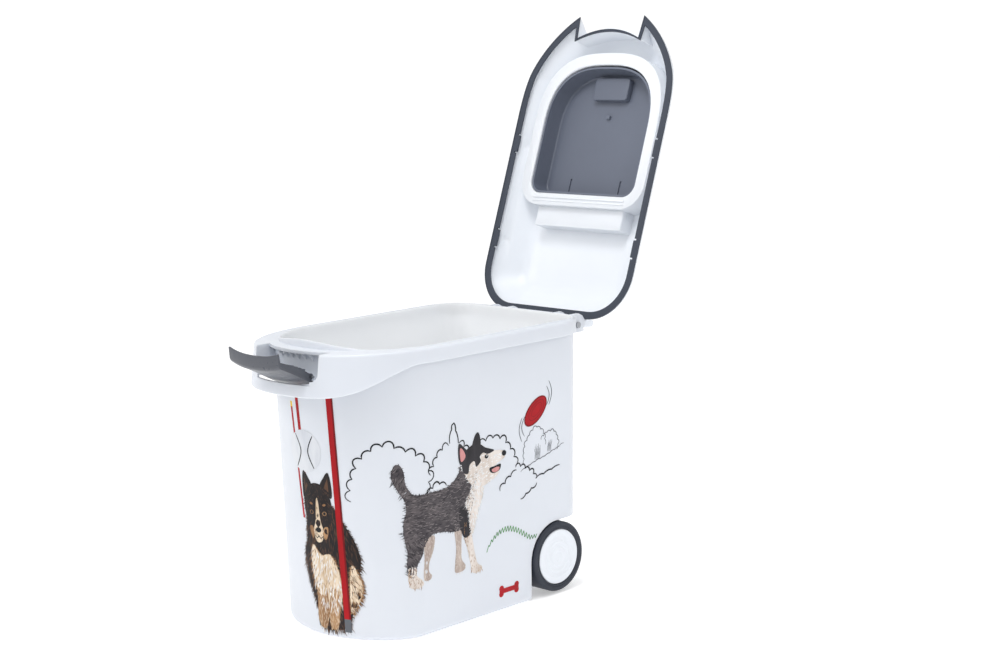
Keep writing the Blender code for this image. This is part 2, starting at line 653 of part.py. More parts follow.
def latch_section(x):
    """The cover's section at one place across it: up the outside, over the lip, and down the inside."""
    low, top, t = LATCH_LOW_Z, LATCH_TOP_Z, LATCH_T
    f = lambda z: latch_front_y(x, z)
    tip = (f(top) + LATCH_LIP, top + LATCH_LIP_RISE)
    return [(x, f(low), low), (x, f(0.360), 0.360), (x, f(0.376), 0.376), (x, f(top) + 0.0006, top - 0.004),
            (x, f(top) + 0.0035, top), (x, tip[0], tip[1]), (x, tip[0] + 0.0007, tip[1] - t),
            (x, f(top) + 0.0050, top - t), (x, f(0.376) + t, 0.3835), (x, f(0.360) + t, 0.360), (x, f(low) + t, low)]


def make_latch_cover(axis):
    """Curved cover whose top turns back into the lip, with a cheek at each end."""
    steps = 12
    cover = loft("latch_cover", [latch_section(LATCH_HALF_W * (2 * k / steps - 1)) for k in range(steps + 1)], dark())
    front, top = latch_front_y(LATCH_HALF_W, 0.36) + 0.0012, LATCH_TOP_Z - 0.0015
    cheek = arc(LATCH_AXIS_Y, LATCH_AXIS_Z, 0.0040, math.radians(-90), math.radians(40), 7)
    cheek += [(LATCH_AXIS_Y + 0.0060, 0.3600), (front + 0.0080, top), (front + 0.003, top), (front, 0.372)]
    cheek += [(front - 0.001, LATCH_AXIS_Z - 0.0025)]
    for s in (-1, 1):
        x0, x1 = sorted((s * (LATCH_HALF_W - 0.0025), s * (LATCH_HALF_W - 0.0002)))
        add(cover, prism("cheek", cheek, x0, x1, "X"))
        drill(cover, 0.0015 + GAP, s * 0.043, s * 0.049, (LATCH_AXIS_Y, LATCH_AXIS_Z))
    return on_axis(smooth(cover), axis, axis.location)


def lattice_front_y(x, z):
    return latch_front_y(x, z) + LATCH_T + GAP


def lattice_row(z, back, half):
    xs = [half * (k / 6 - 1) for k in range(13)]
    front = [(x, lattice_front_y(x, z + RIB_T)) for x in xs]
    return prism("row", front + [(x, back) for x in reversed(xs)], z, z + RIB_T)


def make_latch_lattice(axis):
    """Crossed stiffening ribs behind the cover."""
    half, back, low, pitch, rows, columns = 0.036, LATCH_AXIS_Y + 0.0075, LATCH_AXIS_Z + 0.002, 0.0062, 4, 7
    high = low + (rows - 1) * pitch
    lattice = lattice_row(low, back, half)
    lattice.name = "latch_lattice"
    lattice.data.materials.append(dark())
    for k in range(1, rows):
        add(lattice, lattice_row(low + k * pitch, back, half))
    for k in range(columns):
        x = -half + RIB_T / 2 + k * (2 * half - RIB_T) / (columns - 1)
        front = lattice_front_y(x, high) + 0.0005
        add(lattice, block("column", (x - RIB_T / 2, front, low + 0.0002),
                           (x + RIB_T / 2, back - 0.0004, high + RIB_T - 0.0002)))
    return on_axis(lattice, axis, axis.location)


# ---- pins ----
def make_pin(name, radius, x0, x1, centre, head_x=None):
    pin = rod(name, radius, min(x0, x1), max(x0, x1), centre, 20, steel())
    if head_x is not None:
        add(pin, rod("head", radius * 1.7, *sorted((head_x, head_x + math.copysign(0.0015, head_x))), centre, 20))
    return smooth(pin)


# ---- wheels ----
def make_wheel(side, label, axis):
    centre = (WHEEL_Y, WHEEL_Z)
    x = lambda value: side * value
    back, face = WHEEL_FACE_X - WHEEL_W, WHEEL_FACE_X
    r = WHEEL_R
    tread = [(0.0392, x(back)), (r - 0.003, x(back)), (r - 0.0006, x(back + 0.0018)), (r, x(back + 0.005)),
             (r, x(face - 0.004)), (r - 0.0008, x(face - 0.0012)), (r - 0.0025, x(face)), (0.0375, x(face)),
             (0.0375, x(face - 0.0035)), (0.0392, x(face - 0.0035))]
    hub = [(AXLE_R + GAP, x(back + 0.0005)), (0.010, x(back + 0.0005)), (0.010, x(0.1030)), (0.036, x(0.1030)),
           (0.036, x(back + 0.0015)), (0.0389, x(back + 0.0015)), (0.0389, x(0.1165)), (0.036, x(0.1165)),
           (0.036, x(0.1060)), (AXLE_R + GAP, x(0.1060))]
    disc = [(0.0055, x(0.1170)), (0.036, x(0.1170)), (DISC_R, x(0.1178)), (DISC_R, x(0.1195)),
            (0.035, x(0.1205)), (0.028, x(0.1205)), (0.0272, x(0.1199)), (0.019, x(0.1199)), (0.0182, x(0.1205)),
            (0.0105, x(0.1205)), (0.0098, x(0.1198)), (0.0055, x(0.1198))]
    pieces = [turned(f"tyre_{label}", tread, centre, 48, tyre_black()),
              turned(f"wheel_hub_{label}", hub, centre, 36, dark())]
    cap = turned(f"wheel_disc_{label}", disc, centre, 48, white())
    add(cap, rod("middle", 0.0065, *sorted((x(0.1172), x(0.1197))), centre, 24))
    pieces.append(cap)
    for piece in pieces:
        on_axis(smooth(piece), axis, axis.location)


def make_axle(side, label):
    centre = (WHEEL_Y, WHEEL_Z)
    ends = sorted((side * (BAY_IN_X + 0.0010), side * 0.1125))
    smooth(rod(f"axle_{label}", AXLE_R, ends[0], ends[1], centre, 24, steel()))
    ring = [(AXLE_R + GAP, side * 0.1066), (0.0095, side * 0.1066), (0.0095, side * 0.1080), (AXLE_R + GAP, side * 0.1080)]
    turned(f"axle_retainer_{label}", ring, centre, 24, steel())


def make_pins():
    for side, label in ((1, "right"), (-1, "left")):
        make_pin(f"lid_hinge_pin_{label}", 0.0025, side * 0.0412, side * 0.0806, (LID_PIVOT_Y, LID_PIVOT_Z),
                 side * 0.0805)
        make_pin(f"latch_pin_{label}", 0.0015, side * 0.0372, side * 0.0520, (LATCH_AXIS_Y, LATCH_AXIS_Z))


def build():
    clear_scene()
    make_tub()
    lid_axis = axis_empty("lid_axis", (0, LID_PIVOT_Y, LID_PIVOT_Z), -LID_OPEN)
    make_lid(lid_axis)
    make_trim(lid_axis)
    flap_place = Vector(lid_point(0, FLAP_AXIS_U, FLAP_AXIS_W))
    flap_axis = axis_empty("flap_axis", flap_place - lid_axis.location, 0.0, lid_axis)
    make_flap(flap_axis, flap_place)
    for side, label in ((1, "right"), (-1, "left")):
        pin = make_pin(f"flap_pin_{label}", 0.0015, side * 0.0605, side * 0.0795, flap_place[1:])
        on_axis(pin, flap_axis, flap_place)
    latch_axis = axis_empty("latch_axis", (0, LATCH_AXIS_Y, LATCH_AXIS_Z), LATCH_OPEN)
    make_latch_cover(latch_axis)
    make_latch_lattice(latch_axis)
    make_pins()
    for side, label in ((1, "right"), (-1, "left")):
        wheel_axis = axis_empty(f"wheel_axis_{label}", (side * WHEEL_FACE_X, WHEEL_Y, WHEEL_Z))
        make_wheel(side, label, wheel_axis)
        make_axle(side, label)


build()
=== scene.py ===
"""Looks for the wheeled pet food bin: fine mouldings, a printed film and procedural materials.

Metres, in the frame's axes: +Z up, the latch at -Y, the hinge and the wheels at +Y.
"""
import json
import math
import random

import bpy
import bmesh
from mathutils import Matrix, Vector
from mathutils.geometry import delaunay_2d_cdt


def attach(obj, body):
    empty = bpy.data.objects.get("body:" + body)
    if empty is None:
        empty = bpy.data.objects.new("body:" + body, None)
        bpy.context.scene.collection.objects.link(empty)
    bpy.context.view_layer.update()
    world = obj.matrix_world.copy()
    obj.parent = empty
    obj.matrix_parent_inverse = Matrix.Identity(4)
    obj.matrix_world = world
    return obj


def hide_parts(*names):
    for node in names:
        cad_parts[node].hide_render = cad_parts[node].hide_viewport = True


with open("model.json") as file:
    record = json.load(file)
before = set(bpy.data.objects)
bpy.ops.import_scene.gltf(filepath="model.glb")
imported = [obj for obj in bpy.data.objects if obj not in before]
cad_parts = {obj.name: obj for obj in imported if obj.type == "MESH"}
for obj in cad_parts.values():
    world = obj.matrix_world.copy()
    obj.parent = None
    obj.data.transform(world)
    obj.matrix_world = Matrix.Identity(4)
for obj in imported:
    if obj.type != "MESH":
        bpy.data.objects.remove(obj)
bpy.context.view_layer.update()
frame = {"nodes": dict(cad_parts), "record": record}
joints = {joint["name"]: joint for joint in frame["record"]["behaviour"]["joints"]}

# ---- driving dimensions ----
WALL = 0.0025
GAP = 0.0003
RIM_Z = 0.366
FLOOR_T = 0.003

BASE_PLAN = (0.1165, 0.2375, 0.030, -0.052, 0.081,
             1.85)      # half width, rear y, corner r, front y0, depth, roundness
NECK_PLAN = (0.1225, 0.2460, 0.034, -0.025, 0.121, 2.0)
MOUTH_PLAN = (0.1225, 0.2460, 0.034, -0.025, 0.110, 2.0)
COLLAR_PLAN = (0.134, 0.254, 0.060, 0.0, 0.1705, 2.39)
BASE_FILLET = 0.006
FOOD_FRONT_Y = -0.134           # the food space's lighter copy of the white plastic (painted light) ends here, behind the latch recess
COLLAR_FLARE = 0.006
SKIRT_SIDE_Z, SKIRT_FRONT_Z = 0.3475, 0.313
SKIRT_SWOOP_START, SKIRT_SWOOP_END = -0.055, -0.165
CREST_H, CREST_HALF_W = 0.0090, 0.086

RECESS_HALF_W, RECESS_FLOOR_Z, RECESS_CORNER_R = 0.060, 0.3325, 0.010
RECESS_LIP_Y, RECESS_LIP_BOW = -0.1385, 0.0145
RECESS_SILL_Z, RECESS_FLOOR_Y = 0.3280, -0.1555
GUSSETS, GUSSET_PITCH, GUSSET_T = 6, 0.0116, 0.0016

LID_REAR_Y, LID_HALF_W, LID_CORNER_R = 0.268, 0.139, 0.066
LID_STRAIGHT, LID_FRONT_DEPTH, LID_ROUNDNESS = 0.326, 0.129, 1.63
LID_TAPER = 0.0035
LID_DOME = [(0.0008, 0.0028), (0.0015, 0.006), (0.007, 0.012), (0.016, 0.021), (0.026, 0.031),
            (0.035, 0.0395),
            (0.046, 0.0455), (0.060, 0.048)]
NOTCH_HALF_W, NOTCH_TIP_HALF_W, NOTCH_CORNER_U, NOTCH_MID_U = 0.0575, 0.0602, 0.4015, 0.4150
NOTCH_DEPTH = 0.0268           # over this length the notch widens from its corner to its tip
NOTCH_TOOL_U = 0.48            # the notch's cutter reaches this far past the lid's front
NOTCH_STEPS = 12
LID_BASE_Z = RIM_Z + 0.0008
TRIM_H, TRIM_W, TRIM_NOTCH_W = 0.0025, 0.0105, 0.004
TAB_U, TAB_L, TAB_SLOT = (0.1028, 0.2440), 0.024, 0.0025

FEED_HALF_W, FEED_REAR_U, FEED_FRONT_U = 0.098, 0.176, 0.366
FEED_STRAIGHT_U, FEED_ROUNDNESS, FEED_CORNER_R = 0.270, 2.8, 0.020
SURROUND_W, SURROUND_LOW_W = 0.015, 0.012
CHUTE_TOP_W, FLAP_FLOOR_W, FLAP_T = 0.0355, 0.041, 0.0028
ABOVE_W = 0.08                 # a height over every part of the shut lid, for its cutters
SKIRT_LOW_W, SKIRT_PLAY, SKIRT_TAPER, SKIRT_FRONT_PLAY = 0.0148, 0.0008, 0.0026, 0.0017
FLAP_AXIS_U, FLAP_AXIS_W = 0.152, 0.0435
HINGE_PAN_HALF_W, HINGE_PAN_U, HINGE_PAN_W = 0.078, (0.133, 0.163), 0.024

LATCH_HALF_W, LATCH_LOW_Z, LATCH_TOP_Z, LATCH_T = 0.047, 0.333, 0.3915, 0.0028
LATCH_LIP, LATCH_LIP_RISE = 0.0165, 0.0060
RIB_T = 0.0016

WHEEL_R, WHEEL_W, DISC_R, AXLE_R = 0.047, 0.031, 0.037, 0.004
BAY_R, BAY_IN_X = 0.0495, 0.076
PIN_R, LID_PIN_R = 0.0015, 0.0025

LID_OPEN = math.radians(joints["lid_hinge"]["range_deg"][1])
LATCH_OPEN = math.radians(joints["latch_hinge"]["range_deg"][1])
LID_PIVOT = Vector(joints["lid_hinge"]["pos_m"])
LATCH_PIVOT = Vector(joints["latch_hinge"]["pos_m"])
WHEEL_PLACE = Vector(joints["wheel_right_spin"]["pos_m"])

ARC_STEPS, FRONT_STEPS, FEED_STEPS, EASE_POINTS = 16, 44, 36, 8


# ---- mesh helpers ----
def placed(name, data):
    """A new object in the scene."""
    obj = bpy.data.objects.new(name, data)
    bpy.context.scene.collection.objects.link(obj)
    return obj


def object_from(name, verts, faces):
    mesh = bpy.data.meshes.new(name)
    mesh.from_pydata([tuple(v) for v in verts], [], faces)
    bm = bmesh.new()
    bm.from_mesh(mesh)
    bmesh.ops.remove_doubles(bm, verts=bm.verts, dist=1e-7)
    bmesh.ops.triangulate(bm, faces=[f for f in bm.faces if len(f.verts) == 4])
    bmesh.ops.recalc_face_normals(bm, faces=bm.faces)
    if bm.calc_volume(signed=True) < 0:
        bmesh.ops.reverse_faces(bm, faces=bm.faces)
    bm.to_mesh(mesh)
    bm.free()
    return placed(name, mesh)


def loft(name, rings, closed=False):
    """Joins rings of equally many points, and caps both ends unless the rings run round to the first."""
    count = len(rings[0])
    verts = [Vector(p) for ring in rings for p in ring]
    faces = []
    for r in range(len(rings) if closed else len(rings) - 1):
        a, b = r * count, ((r + 1) % len(rings)) * count
        faces += [(a + i, a + (i + 1) % count, b + (i + 1) % count, b + i) for i in range(count)]
    for start, ring in [] if closed else [(0, rings[0]), ((len(rings) - 1) * count, rings[-1])]:
        if any(max(p[c] for p in ring) - min(p[c] for p in ring) < 1e-7 for c in (0, 2)):
            faces.append(tuple(range(start, start + count)))
            continue
        middle = len(verts)
        verts.append(sum((Vector(p) for p in ring), Vector()) / count)
        faces += [(start + i, start + (i + 1) % count, middle) for i in range(count)]
    return object_from(name, verts, faces)


def prism(name, outline, low, high, axis="Z"):
    """Extrudes an outline: (x, y) along Z, (y, z) along X, or (x, z) along Y."""
    place = {"Z": lambda p, h: (p[0], p[1], h), "X": lambda p, h: (h, p[0], p[1]), "Y": lambda p,
             h: (p[0], h, p[1])}
    count = len(outline)
    verts = [place[axis](p, low) for p in outline] + [place[axis](p, high) for p in outline]
    sides = [(i, (i + 1) % count, count + (i + 1) % count, count + i) for i in range(count)]
    return object_from(name, verts, sides + [tuple(range(count)), tuple(range(count, 2 * count))])


def block(name, low, high):
    return prism(name, [(low[0], low[1]), (high[0], low[1]), (high[0], high[1]), (low[0], high[1])], low[2],
                 high[2])


def turned(name, profile, centre, steps):
    """Turns a closed (radius, x) profile about an axis along X through the centre (y, z)."""
    rings = []
    for k in range(steps):
        a = math.tau * k / steps
        rings.append([(x, centre[0] + r * math.cos(a), centre[1] + r * math.sin(a)) for r, x in profile])
    return loft(name, rings, closed=True)


def rod(name, radius, x0, x1, centre, steps=32):
    angles = [math.tau * k / steps for k in range(steps)]
    circle = [(centre[0] + radius * math.cos(a), centre[1] + radius * math.sin(a)) for a in angles]
    return prism(name, circle, min(x0, x1), max(x0, x1), "X")


def apply_modifiers(obj):
    mesh = bpy.data.meshes.new_from_object(obj.evaluated_get(bpy.context.evaluated_depsgraph_get()))
    obj.modifiers.clear()
    obj.data = mesh
    return obj


def combine(target, other, operation):
    modifier = target.modifiers.new("cut", "BOOLEAN")
    modifier.operation, modifier.object, modifier.solver = operation, other, "EXACT"
    apply_modifiers(target)
    bpy.data.objects.remove(other, do_unlink=True)


def add(target, *others):
    for other in others:
        combine(target, other, "UNION")


def cut(target, *others):
    for other in others:
        combine(target, other, "DIFFERENCE")


def rounded(obj, width=0.001, segments=3, angle=30):
    """Rounds the edges of a plain shape before it is joined to another."""
    modifier = obj.modifiers.new("round", "BEVEL")
    modifier.width, modifier.segments, modifier.limit_method = width, segments, "ANGLE"
    modifier.angle_limit = math.radians(angle)
    return apply_modifiers(obj)


def smooth(obj, angle=32):
    obj.data.shade_smooth()
    obj.data.set_sharp_from_angle(angle=math.radians(angle))
    return obj


def turn_open(obj, pivot, angle):
    """Swings a piece that was modelled closed to its place at rest."""
    obj.data.transform(Matrix.Translation(pivot) @ Matrix.Rotation(angle, 4,
                                                                   "X") @ Matrix.Translation(-pivot))
    return obj


def dress(obj, body, material, nodes=()):
    """Gives a piece its material, its body and the nodes it stands for."""
    obj.data.materials.clear()
    obj.data.materials.append(material)
    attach(obj, body)
    if nodes:
        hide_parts(*nodes)
    return obj


# ---- outlines ----
def mirrored(half):
    """Mirrors a half outline that runs from the rear middle to the front middle."""
    return half + [(-x, y) for x, y in reversed(half[1:-1])]


def arc(cx, cy, r, a0, a1, steps):
    return [(cx + r * math.cos(a0 + (a1 - a0) * k / steps), cy + r * math.sin(a0 + (a1 - a0) * k / steps))
            for k in range(steps + 1)]


def curve_through(points, closed=True, steps=6):
    """A smooth line through the points."""
    count, line = len(points), []
    for k in range(count if closed else count - 1):
        pick = (lambda j: points[j % count]) if closed else (lambda j: points[min(max(j, 0), count - 1)])
        before, a, b, after = (pick(k + j) for j in (-1, 0, 1, 2))
        for i in range(steps):
            t = i / steps
            line.append(tuple(
                0.5 * (2 * a[c] + (b[c] - before[c]) * t + (2 * before[c] - 5 * a[c]
                                                            + 4 * b[c] - after[c]) * t ** 2
                       + (3 * a[c] - before[c] - 3 * b[c] + after[c]) * t ** 3) for c in (0, 1)))
    return line if closed else line + [points[-1]]


def plan(shape, inset=0.0):
    """A tub outline: straight rear and sides, round rear corners, and a superellipse front."""
    half_w, rear_y, corner_r, front_y0, depth, roundness = shape
    w, rear, r, d = half_w - inset, rear_y - inset, max(corner_r - inset, 0.004), depth - inset
    half = [(0.0, rear)] + arc(w - r, rear - r, r, math.pi / 2, 0.0, ARC_STEPS)
    for k in range(FRONT_STEPS + 1):
        t = math.pi / 2 * k / FRONT_STEPS
        x = w * math.cos(t) ** (2 / roundness) if k < FRONT_STEPS else 0.0
        half.append((x, front_y0 - d * math.sin(t) ** (2 / roundness)))
    return mirrored(half)


def at(outline, z):
    return [(p[0], p[1], z) for p in outline]


def body_ring(z, inset=0.0):
    k = z / RIM_Z
    return [(a[0] * (1 - k) + b[0] * k, a[1] * (1 - k) + b[1] * k, z)
            for a, b in zip(plan(BASE_PLAN, inset), plan(NECK_PLAN, inset))]


def swoop(y):
    t = min(max((SKIRT_SWOOP_START - y) / (SKIRT_SWOOP_START - SKIRT_SWOOP_END), 0.0), 1.0)
    return t * t * (3 - 2 * t)


def skirt_ring(inset, lift=0.0, share=1.0):
    """The skirt's outline at its lower edge (share 1) or part of the way down from the rim."""
    ring = []
    for x, y in plan(COLLAR_PLAN, inset):
        s = swoop(y)
        out = 1 + COLLAR_FLARE * s * share / COLLAR_PLAN[4]
        foot = SKIRT_SIDE_Z + (SKIRT_FRONT_Z - SKIRT_SIDE_Z) * s + lift
        top = RIM_Z - 0.003
        ring.append((x * out, y * out, top + (foot - top) * share))
    return ring


def collar_front_y(x):
    half_w, _, _, front_y0, depth, roundness = COLLAR_PLAN
    return front_y0 - depth * (1 - (abs(x) / half_w) ** roundness) ** (1 / roundness)


def crest(x, y):
    if y > 0 or abs(x) >= CREST_HALF_W:
        return 0.0006
    return 0.0006 + CREST_H * math.cos(math.pi / 2 * x / CREST_HALF_W) ** 1.3


# ---- tub ----
def bay(name, side, grow):
    r, rear = BAY_R + grow, BASE_PLAN[1] + 0.03
    outline = [(rear, -0.02), (rear, WHEEL_PLACE.z + r)]
    outline += arc(WHEEL_PLACE.y, WHEEL_PLACE.z, r, math.pi / 2, math.pi, 24) + [(WHEEL_PLACE.y - r, -0.02)]
    return prism(name, outline, *sorted((side * (BAY_IN_X - grow), side * 0.16)), "X")


def tub_outside():
    flange_z = RIM_Z - 0.004
    fillet = [(BASE_FILLET * (1 - math.sin(a)), BASE_FILLET * (1 - math.cos(a)))
              for a in (math.radians(d) for d in (0, 18, 36, 54, 72, 90))]
    rings = [[(x, y, z) for x, y in plan(BASE_PLAN, inset)] for inset, z in fillet[:1]]
    rings += [body_ring(z, inset) for inset, z in fillet[1:]]
    rings += [body_ring(z) for z in (0.06, 0.12, 0.18, 0.24, 0.30)]
    rings += [body_ring(flange_z), at(plan(COLLAR_PLAN, 0.003), flange_z)]
    rings += [skirt_ring(0.003, share=s) for s in (0.35, 0.7)]
    rings += [skirt_ring(0.0028, 0.0004), skirt_ring(0.0022), skirt_ring(0.0008), skirt_ring(0.0, 0.0008)]
    rings += [skirt_ring(0.0, share=s) for s in (0.7, 0.35, 0.0)]
    for degrees in (25, 50, 75, 90):
        a = math.radians(degrees)
        rings.append(at(plan(COLLAR_PLAN, 0.003 * (1 - math.cos(a))), RIM_Z - 0.003 * (1 - math.sin(a))))
    rings += [at(plan(MOUTH_PLAN, -0.0030), RIM_Z), at(plan(MOUTH_PLAN, -0.0012), RIM_Z + 0.0002)]
    for inset, share in ((-0.0004, 0.45), (0.0, 0.82), (0.0005, 0.97), (0.0011, 1.0)):
        rings.append([(x, y, RIM_Z + crest(x, y) * share) for x, y in plan(MOUTH_PLAN, inset)])
    return loft("tub_shell", rings)


def tub_cavity():
    rings = [at(plan(BASE_PLAN, WALL + 0.005), FLOOR_T), body_ring(FLOOR_T + 0.0015, WALL + 0.0015),
             body_ring(FLOOR_T + 0.005, WALL), body_ring(0.12, WALL), body_ring(0.24, WALL),
             body_ring(RIM_Z - 0.016, WALL), at(plan(MOUTH_PLAN, WALL), RIM_Z - 0.0045),
             at(plan(MOUTH_PLAN, WALL), RIM_Z + 0.03)]
    cavity = loft("cavity", rings)
    for side in (-1, 1):
        cut(cavity, bay("bay_skin", side, WALL))
    return cavity


def lip_y(x):
    return RECESS_LIP_Y - RECESS_LIP_BOW * (1 - (x / RECESS_HALF_W) ** 2)


def recess_shape(half_w, back, front, low, high, name, steps=24):
    xs = [half_w * (2 * k / steps - 1) for k in range(steps + 1)]
    return prism(name, [(x, back(x)) for x in xs] + [(x, front(x)) for x in reversed(xs)], low, high)


def round_bottomed(half_w, low, high, r):
    """An (x, z) outline with rounded lower corners."""
    left = arc(-half_w + r, low + r, r, math.pi, 1.5 * math.pi, 8)
    right = arc(half_w - r, low + r, r, 1.5 * math.pi, math.tau, 8)
    return left + right + [(half_w, high), (-half_w, high)]


def add_latch_recess(tub):
    side = RECESS_HALF_W + WALL
    inside = lambda x: collar_front_y(x) + 0.0008
    pocket = recess_shape(side, lambda x: -0.115, inside, RECESS_FLOOR_Z - WALL, RIM_Z - 0.002,
                          "recess_walls")
    room = prism("recess_room", round_bottomed(RECESS_HALF_W, RECESS_FLOOR_Z, RIM_Z, RECESS_CORNER_R), -0.19,
                 -0.11, "Y")
    cut(pocket, room)
    add(tub, pocket)
    opening = recess_shape(RECESS_HALF_W, lip_y, lambda x: -0.19, RECESS_FLOOR_Z - 0.001, RIM_Z + 0.02,
                           "opening")
    shape = round_bottomed(RECESS_HALF_W, RECESS_FLOOR_Z + 0.0002, RIM_Z + 0.03, RECESS_CORNER_R)
    combine(opening, prism("round_floor", shape, -0.20, -0.10, "Y"), "INTERSECT")
    cut(tub, opening)
    inner = RECESS_HALF_W - 0.010
    cut(tub, block("sill", (-inner, -0.19, RECESS_SILL_Z), (inner, RECESS_FLOOR_Y, RIM_Z - 0.01)))


def add_gussets(tub):
    for k in range(GUSSETS):
        x = (k - (GUSSETS - 1) / 2) * GUSSET_PITCH
        outline = [(-0.130, RIM_Z - 0.0022), (lip_y(x) + 0.0012, RIM_Z - 0.0022), (lip_y(x) + 0.0012, 0.3600),
                   (-0.1300, 0.3380)]
        add(tub, prism("gusset", outline, x - GUSSET_T / 2, x + GUSSET_T / 2, "X"))


def add_latch_lugs(tub):
    lug = arc(LATCH_PIVOT.y, LATCH_PIVOT.z, 0.0032, math.radians(45), math.radians(215), 14)
    lug += [(RECESS_FLOOR_Y + 0.0005, RECESS_FLOOR_Z - 0.001), (-0.1440, RECESS_FLOOR_Z - 0.001)]
    for s in (-1, 1):
        add(tub, prism("latch_lug", lug, *sorted((s * 0.0385, s * 0.0425)), "X"))


def add_hinge_bracket(tub):
    side = [(0.2405, 0.3365), (0.2880, 0.3365), (0.2945, 0.3445), (0.2945, 0.3520), (0.2900, 0.3585),
            (0.2840, 0.3615), (0.2440, 0.3615)]
    for s in (-1, 1):
        for low, high in ((0.042, 0.047), (0.073, 0.080)):
            add(tub, rounded(prism("hinge_lug", side, *sorted((s * low, s * high)), "X"), 0.0008, 2))
        x0, x1 = sorted((s * 0.0425, s * 0.0795))
        add(tub, block("ledge", (x0, 0.2435, 0.3588), (x1, 0.2672, 0.3612)))
        add(tub, block("stop_bar", (x0, 0.2885, 0.3368), (x1, 0.2925, 0.3392)))


def make_tub():
    tub = tub_outside()
    add_latch_recess(tub)
    add_gussets(tub)
    add_latch_lugs(tub)
    add_hinge_bracket(tub)
    cut(tub, tub_cavity())
    centre = (WHEEL_PLACE.y, WHEEL_PLACE.z)
    for s in (-1, 1):
        cut(tub, bay("bay", s, 0.0))
        add(tub, rod("boss", 0.010, s * (BAY_IN_X - 0.0015), s * (BAY_IN_X + 0.010), centre))
        cut(tub, rod("drill", AXLE_R + GAP, s * (BAY_IN_X + 0.0005), s * 0.11, centre))
        cut(tub, rod("drill", LID_PIN_R + GAP, s * 0.04, s * 0.09, LID_PIVOT[1:]))
        cut(tub, rod("drill", PIN_R + GAP, s * 0.034, s * 0.055, LATCH_PIVOT[1:]))
    return smooth(tub)


# ---- lid, modelled closed: v across, u from the rear edge to the front, w up from the rim ----
def lid_point(v, u, w):
    return (v, LID_REAR_Y - u, LID_BASE_Z + w)


def eased(half):
    """Rounds off the corner where the lid's straight side meets its front curve."""
    start = ARC_STEPS + 2 + EASE_POINTS
    for _ in range(40):
        moved = {i: tuple((half[i - 1][c] + 2 * half[i][c] + half[i + 1][c]) / 4 for c in (0, 1))
                 for i in range(start - EASE_POINTS + 1, start + EASE_POINTS)}
        for i, point in moved.items():
            half[i] = point
    return half


def lid_rear_and_side(inset):
    w, r = LID_HALF_W - inset, max(LID_CORNER_R - inset, 0.02)
    half = [(0.0, inset)] + [(x, inset + r - y) for x, y in arc(w - r, 0.0, r, math.pi / 2, 0.0, ARC_STEPS)]
    return half + [(w, LID_STRAIGHT - 0.0045 * k) for k in range(EASE_POINTS, 0, -1)]


def notch_half(grow):
    """One half of the latch notch's bowed edge, from its corner to the middle."""
    corner_v, corner_u = NOTCH_HALF_W + grow, NOTCH_CORNER_U - grow
    vs = [corner_v * (1 - k / NOTCH_STEPS) for k in range(NOTCH_STEPS + 1)]
    return [(v, corner_u + (NOTCH_MID_U - NOTCH_CORNER_U) * (1 - (v / corner_v) ** 2)) for v in vs]


def lid_outline(inset, notch_inset):
    w, d = LID_HALF_W - inset, LID_FRONT_DEPTH - inset
    half = lid_rear_and_side(inset)
    tip_v = NOTCH_TIP_HALF_W + notch_inset
    last = math.acos((tip_v / w) ** (LID_ROUNDNESS / 2))
    for k in range(1, FRONT_STEPS + 1):
        t = last * k / FRONT_STEPS
        u = LID_STRAIGHT + d * math.sin(t) ** (2 / LID_ROUNDNESS)
        half.append(((w - LID_TAPER) * math.cos(t) ** (2 / LID_ROUNDNESS) + LID_TAPER * tip_v / w, u))
    return mirrored(eased(half) + notch_half(notch_inset))


def lid_ring(inset, w, notch_inset):
    return [lid_point(v, u, w) for v, u in lid_outline(inset, notch_inset)]


def feed_outline(offset, short=0.0):
    w, r = FEED_HALF_W + offset, FEED_CORNER_R + offset
    rear, d = FEED_REAR_U - offset, FEED_FRONT_U - FEED_STRAIGHT_U + offset - short
    half = [(0.0, rear)] + [(x, rear + r - y) for x, y in arc(w - r, 0.0, r, math.pi / 2, 0.0, 10)]
    for k in range(FEED_STEPS + 1):
        t = math.pi / 2 * k / FEED_STEPS
        v = w * math.cos(t) ** (2 / FEED_ROUNDNESS) if k < FEED_STEPS else 0.0
        half.append((v, FEED_STRAIGHT_U + d * math.sin(t) ** (2 / FEED_ROUNDNESS)))
    return mirrored(half)


def feed_loft(name, rings, short=0.0):
    return loft(name, [[lid_point(v, u, w) for v, u in feed_outline(o, short)] for o, w in rings])


def feed_prism(name, offset, low_w, high_w):
    return feed_loft(name, [(offset, low_w), (offset, high_w)])


def lid_block(name, half_v, u_range, low_w, high_w):
    return block(name, lid_point(-half_v, u_range[1], low_w), lid_point(half_v, u_range[0], high_w))


def dome_ring(inset, w):
    half_w, d = LID_HALF_W - inset, LID_FRONT_DEPTH - inset
    half = lid_rear_and_side(inset)
    for k in range(1, FRONT_STEPS + 3):
        t = math.pi / 2 * k / (FRONT_STEPS + 2)
        v = half_w * max(math.cos(t), 0.0) ** (2 / LID_ROUNDNESS) if k < FRONT_STEPS + 2 else 0.0
        half.append((v, LID_STRAIGHT + d * math.sin(t) ** (2 / LID_ROUNDNESS)))
    return [lid_point(v, u, w) for v, u in mirrored(eased(half))]


def dome(name, inset=0.0, drop=0.0, foot=0.0):
    profile = curve_through(LID_DOME, closed=False, steps=3)
    return loft(name, [dome_ring(inset + drawn, w - (drop if k else foot)) for k,
                       (drawn, w) in enumerate(profile)])


def under_dome(shape, inset=0.0, drop=0.0):
    combine(shape, dome("dome_tool", inset, drop, 0.005), "INTERSECT")
    return shape


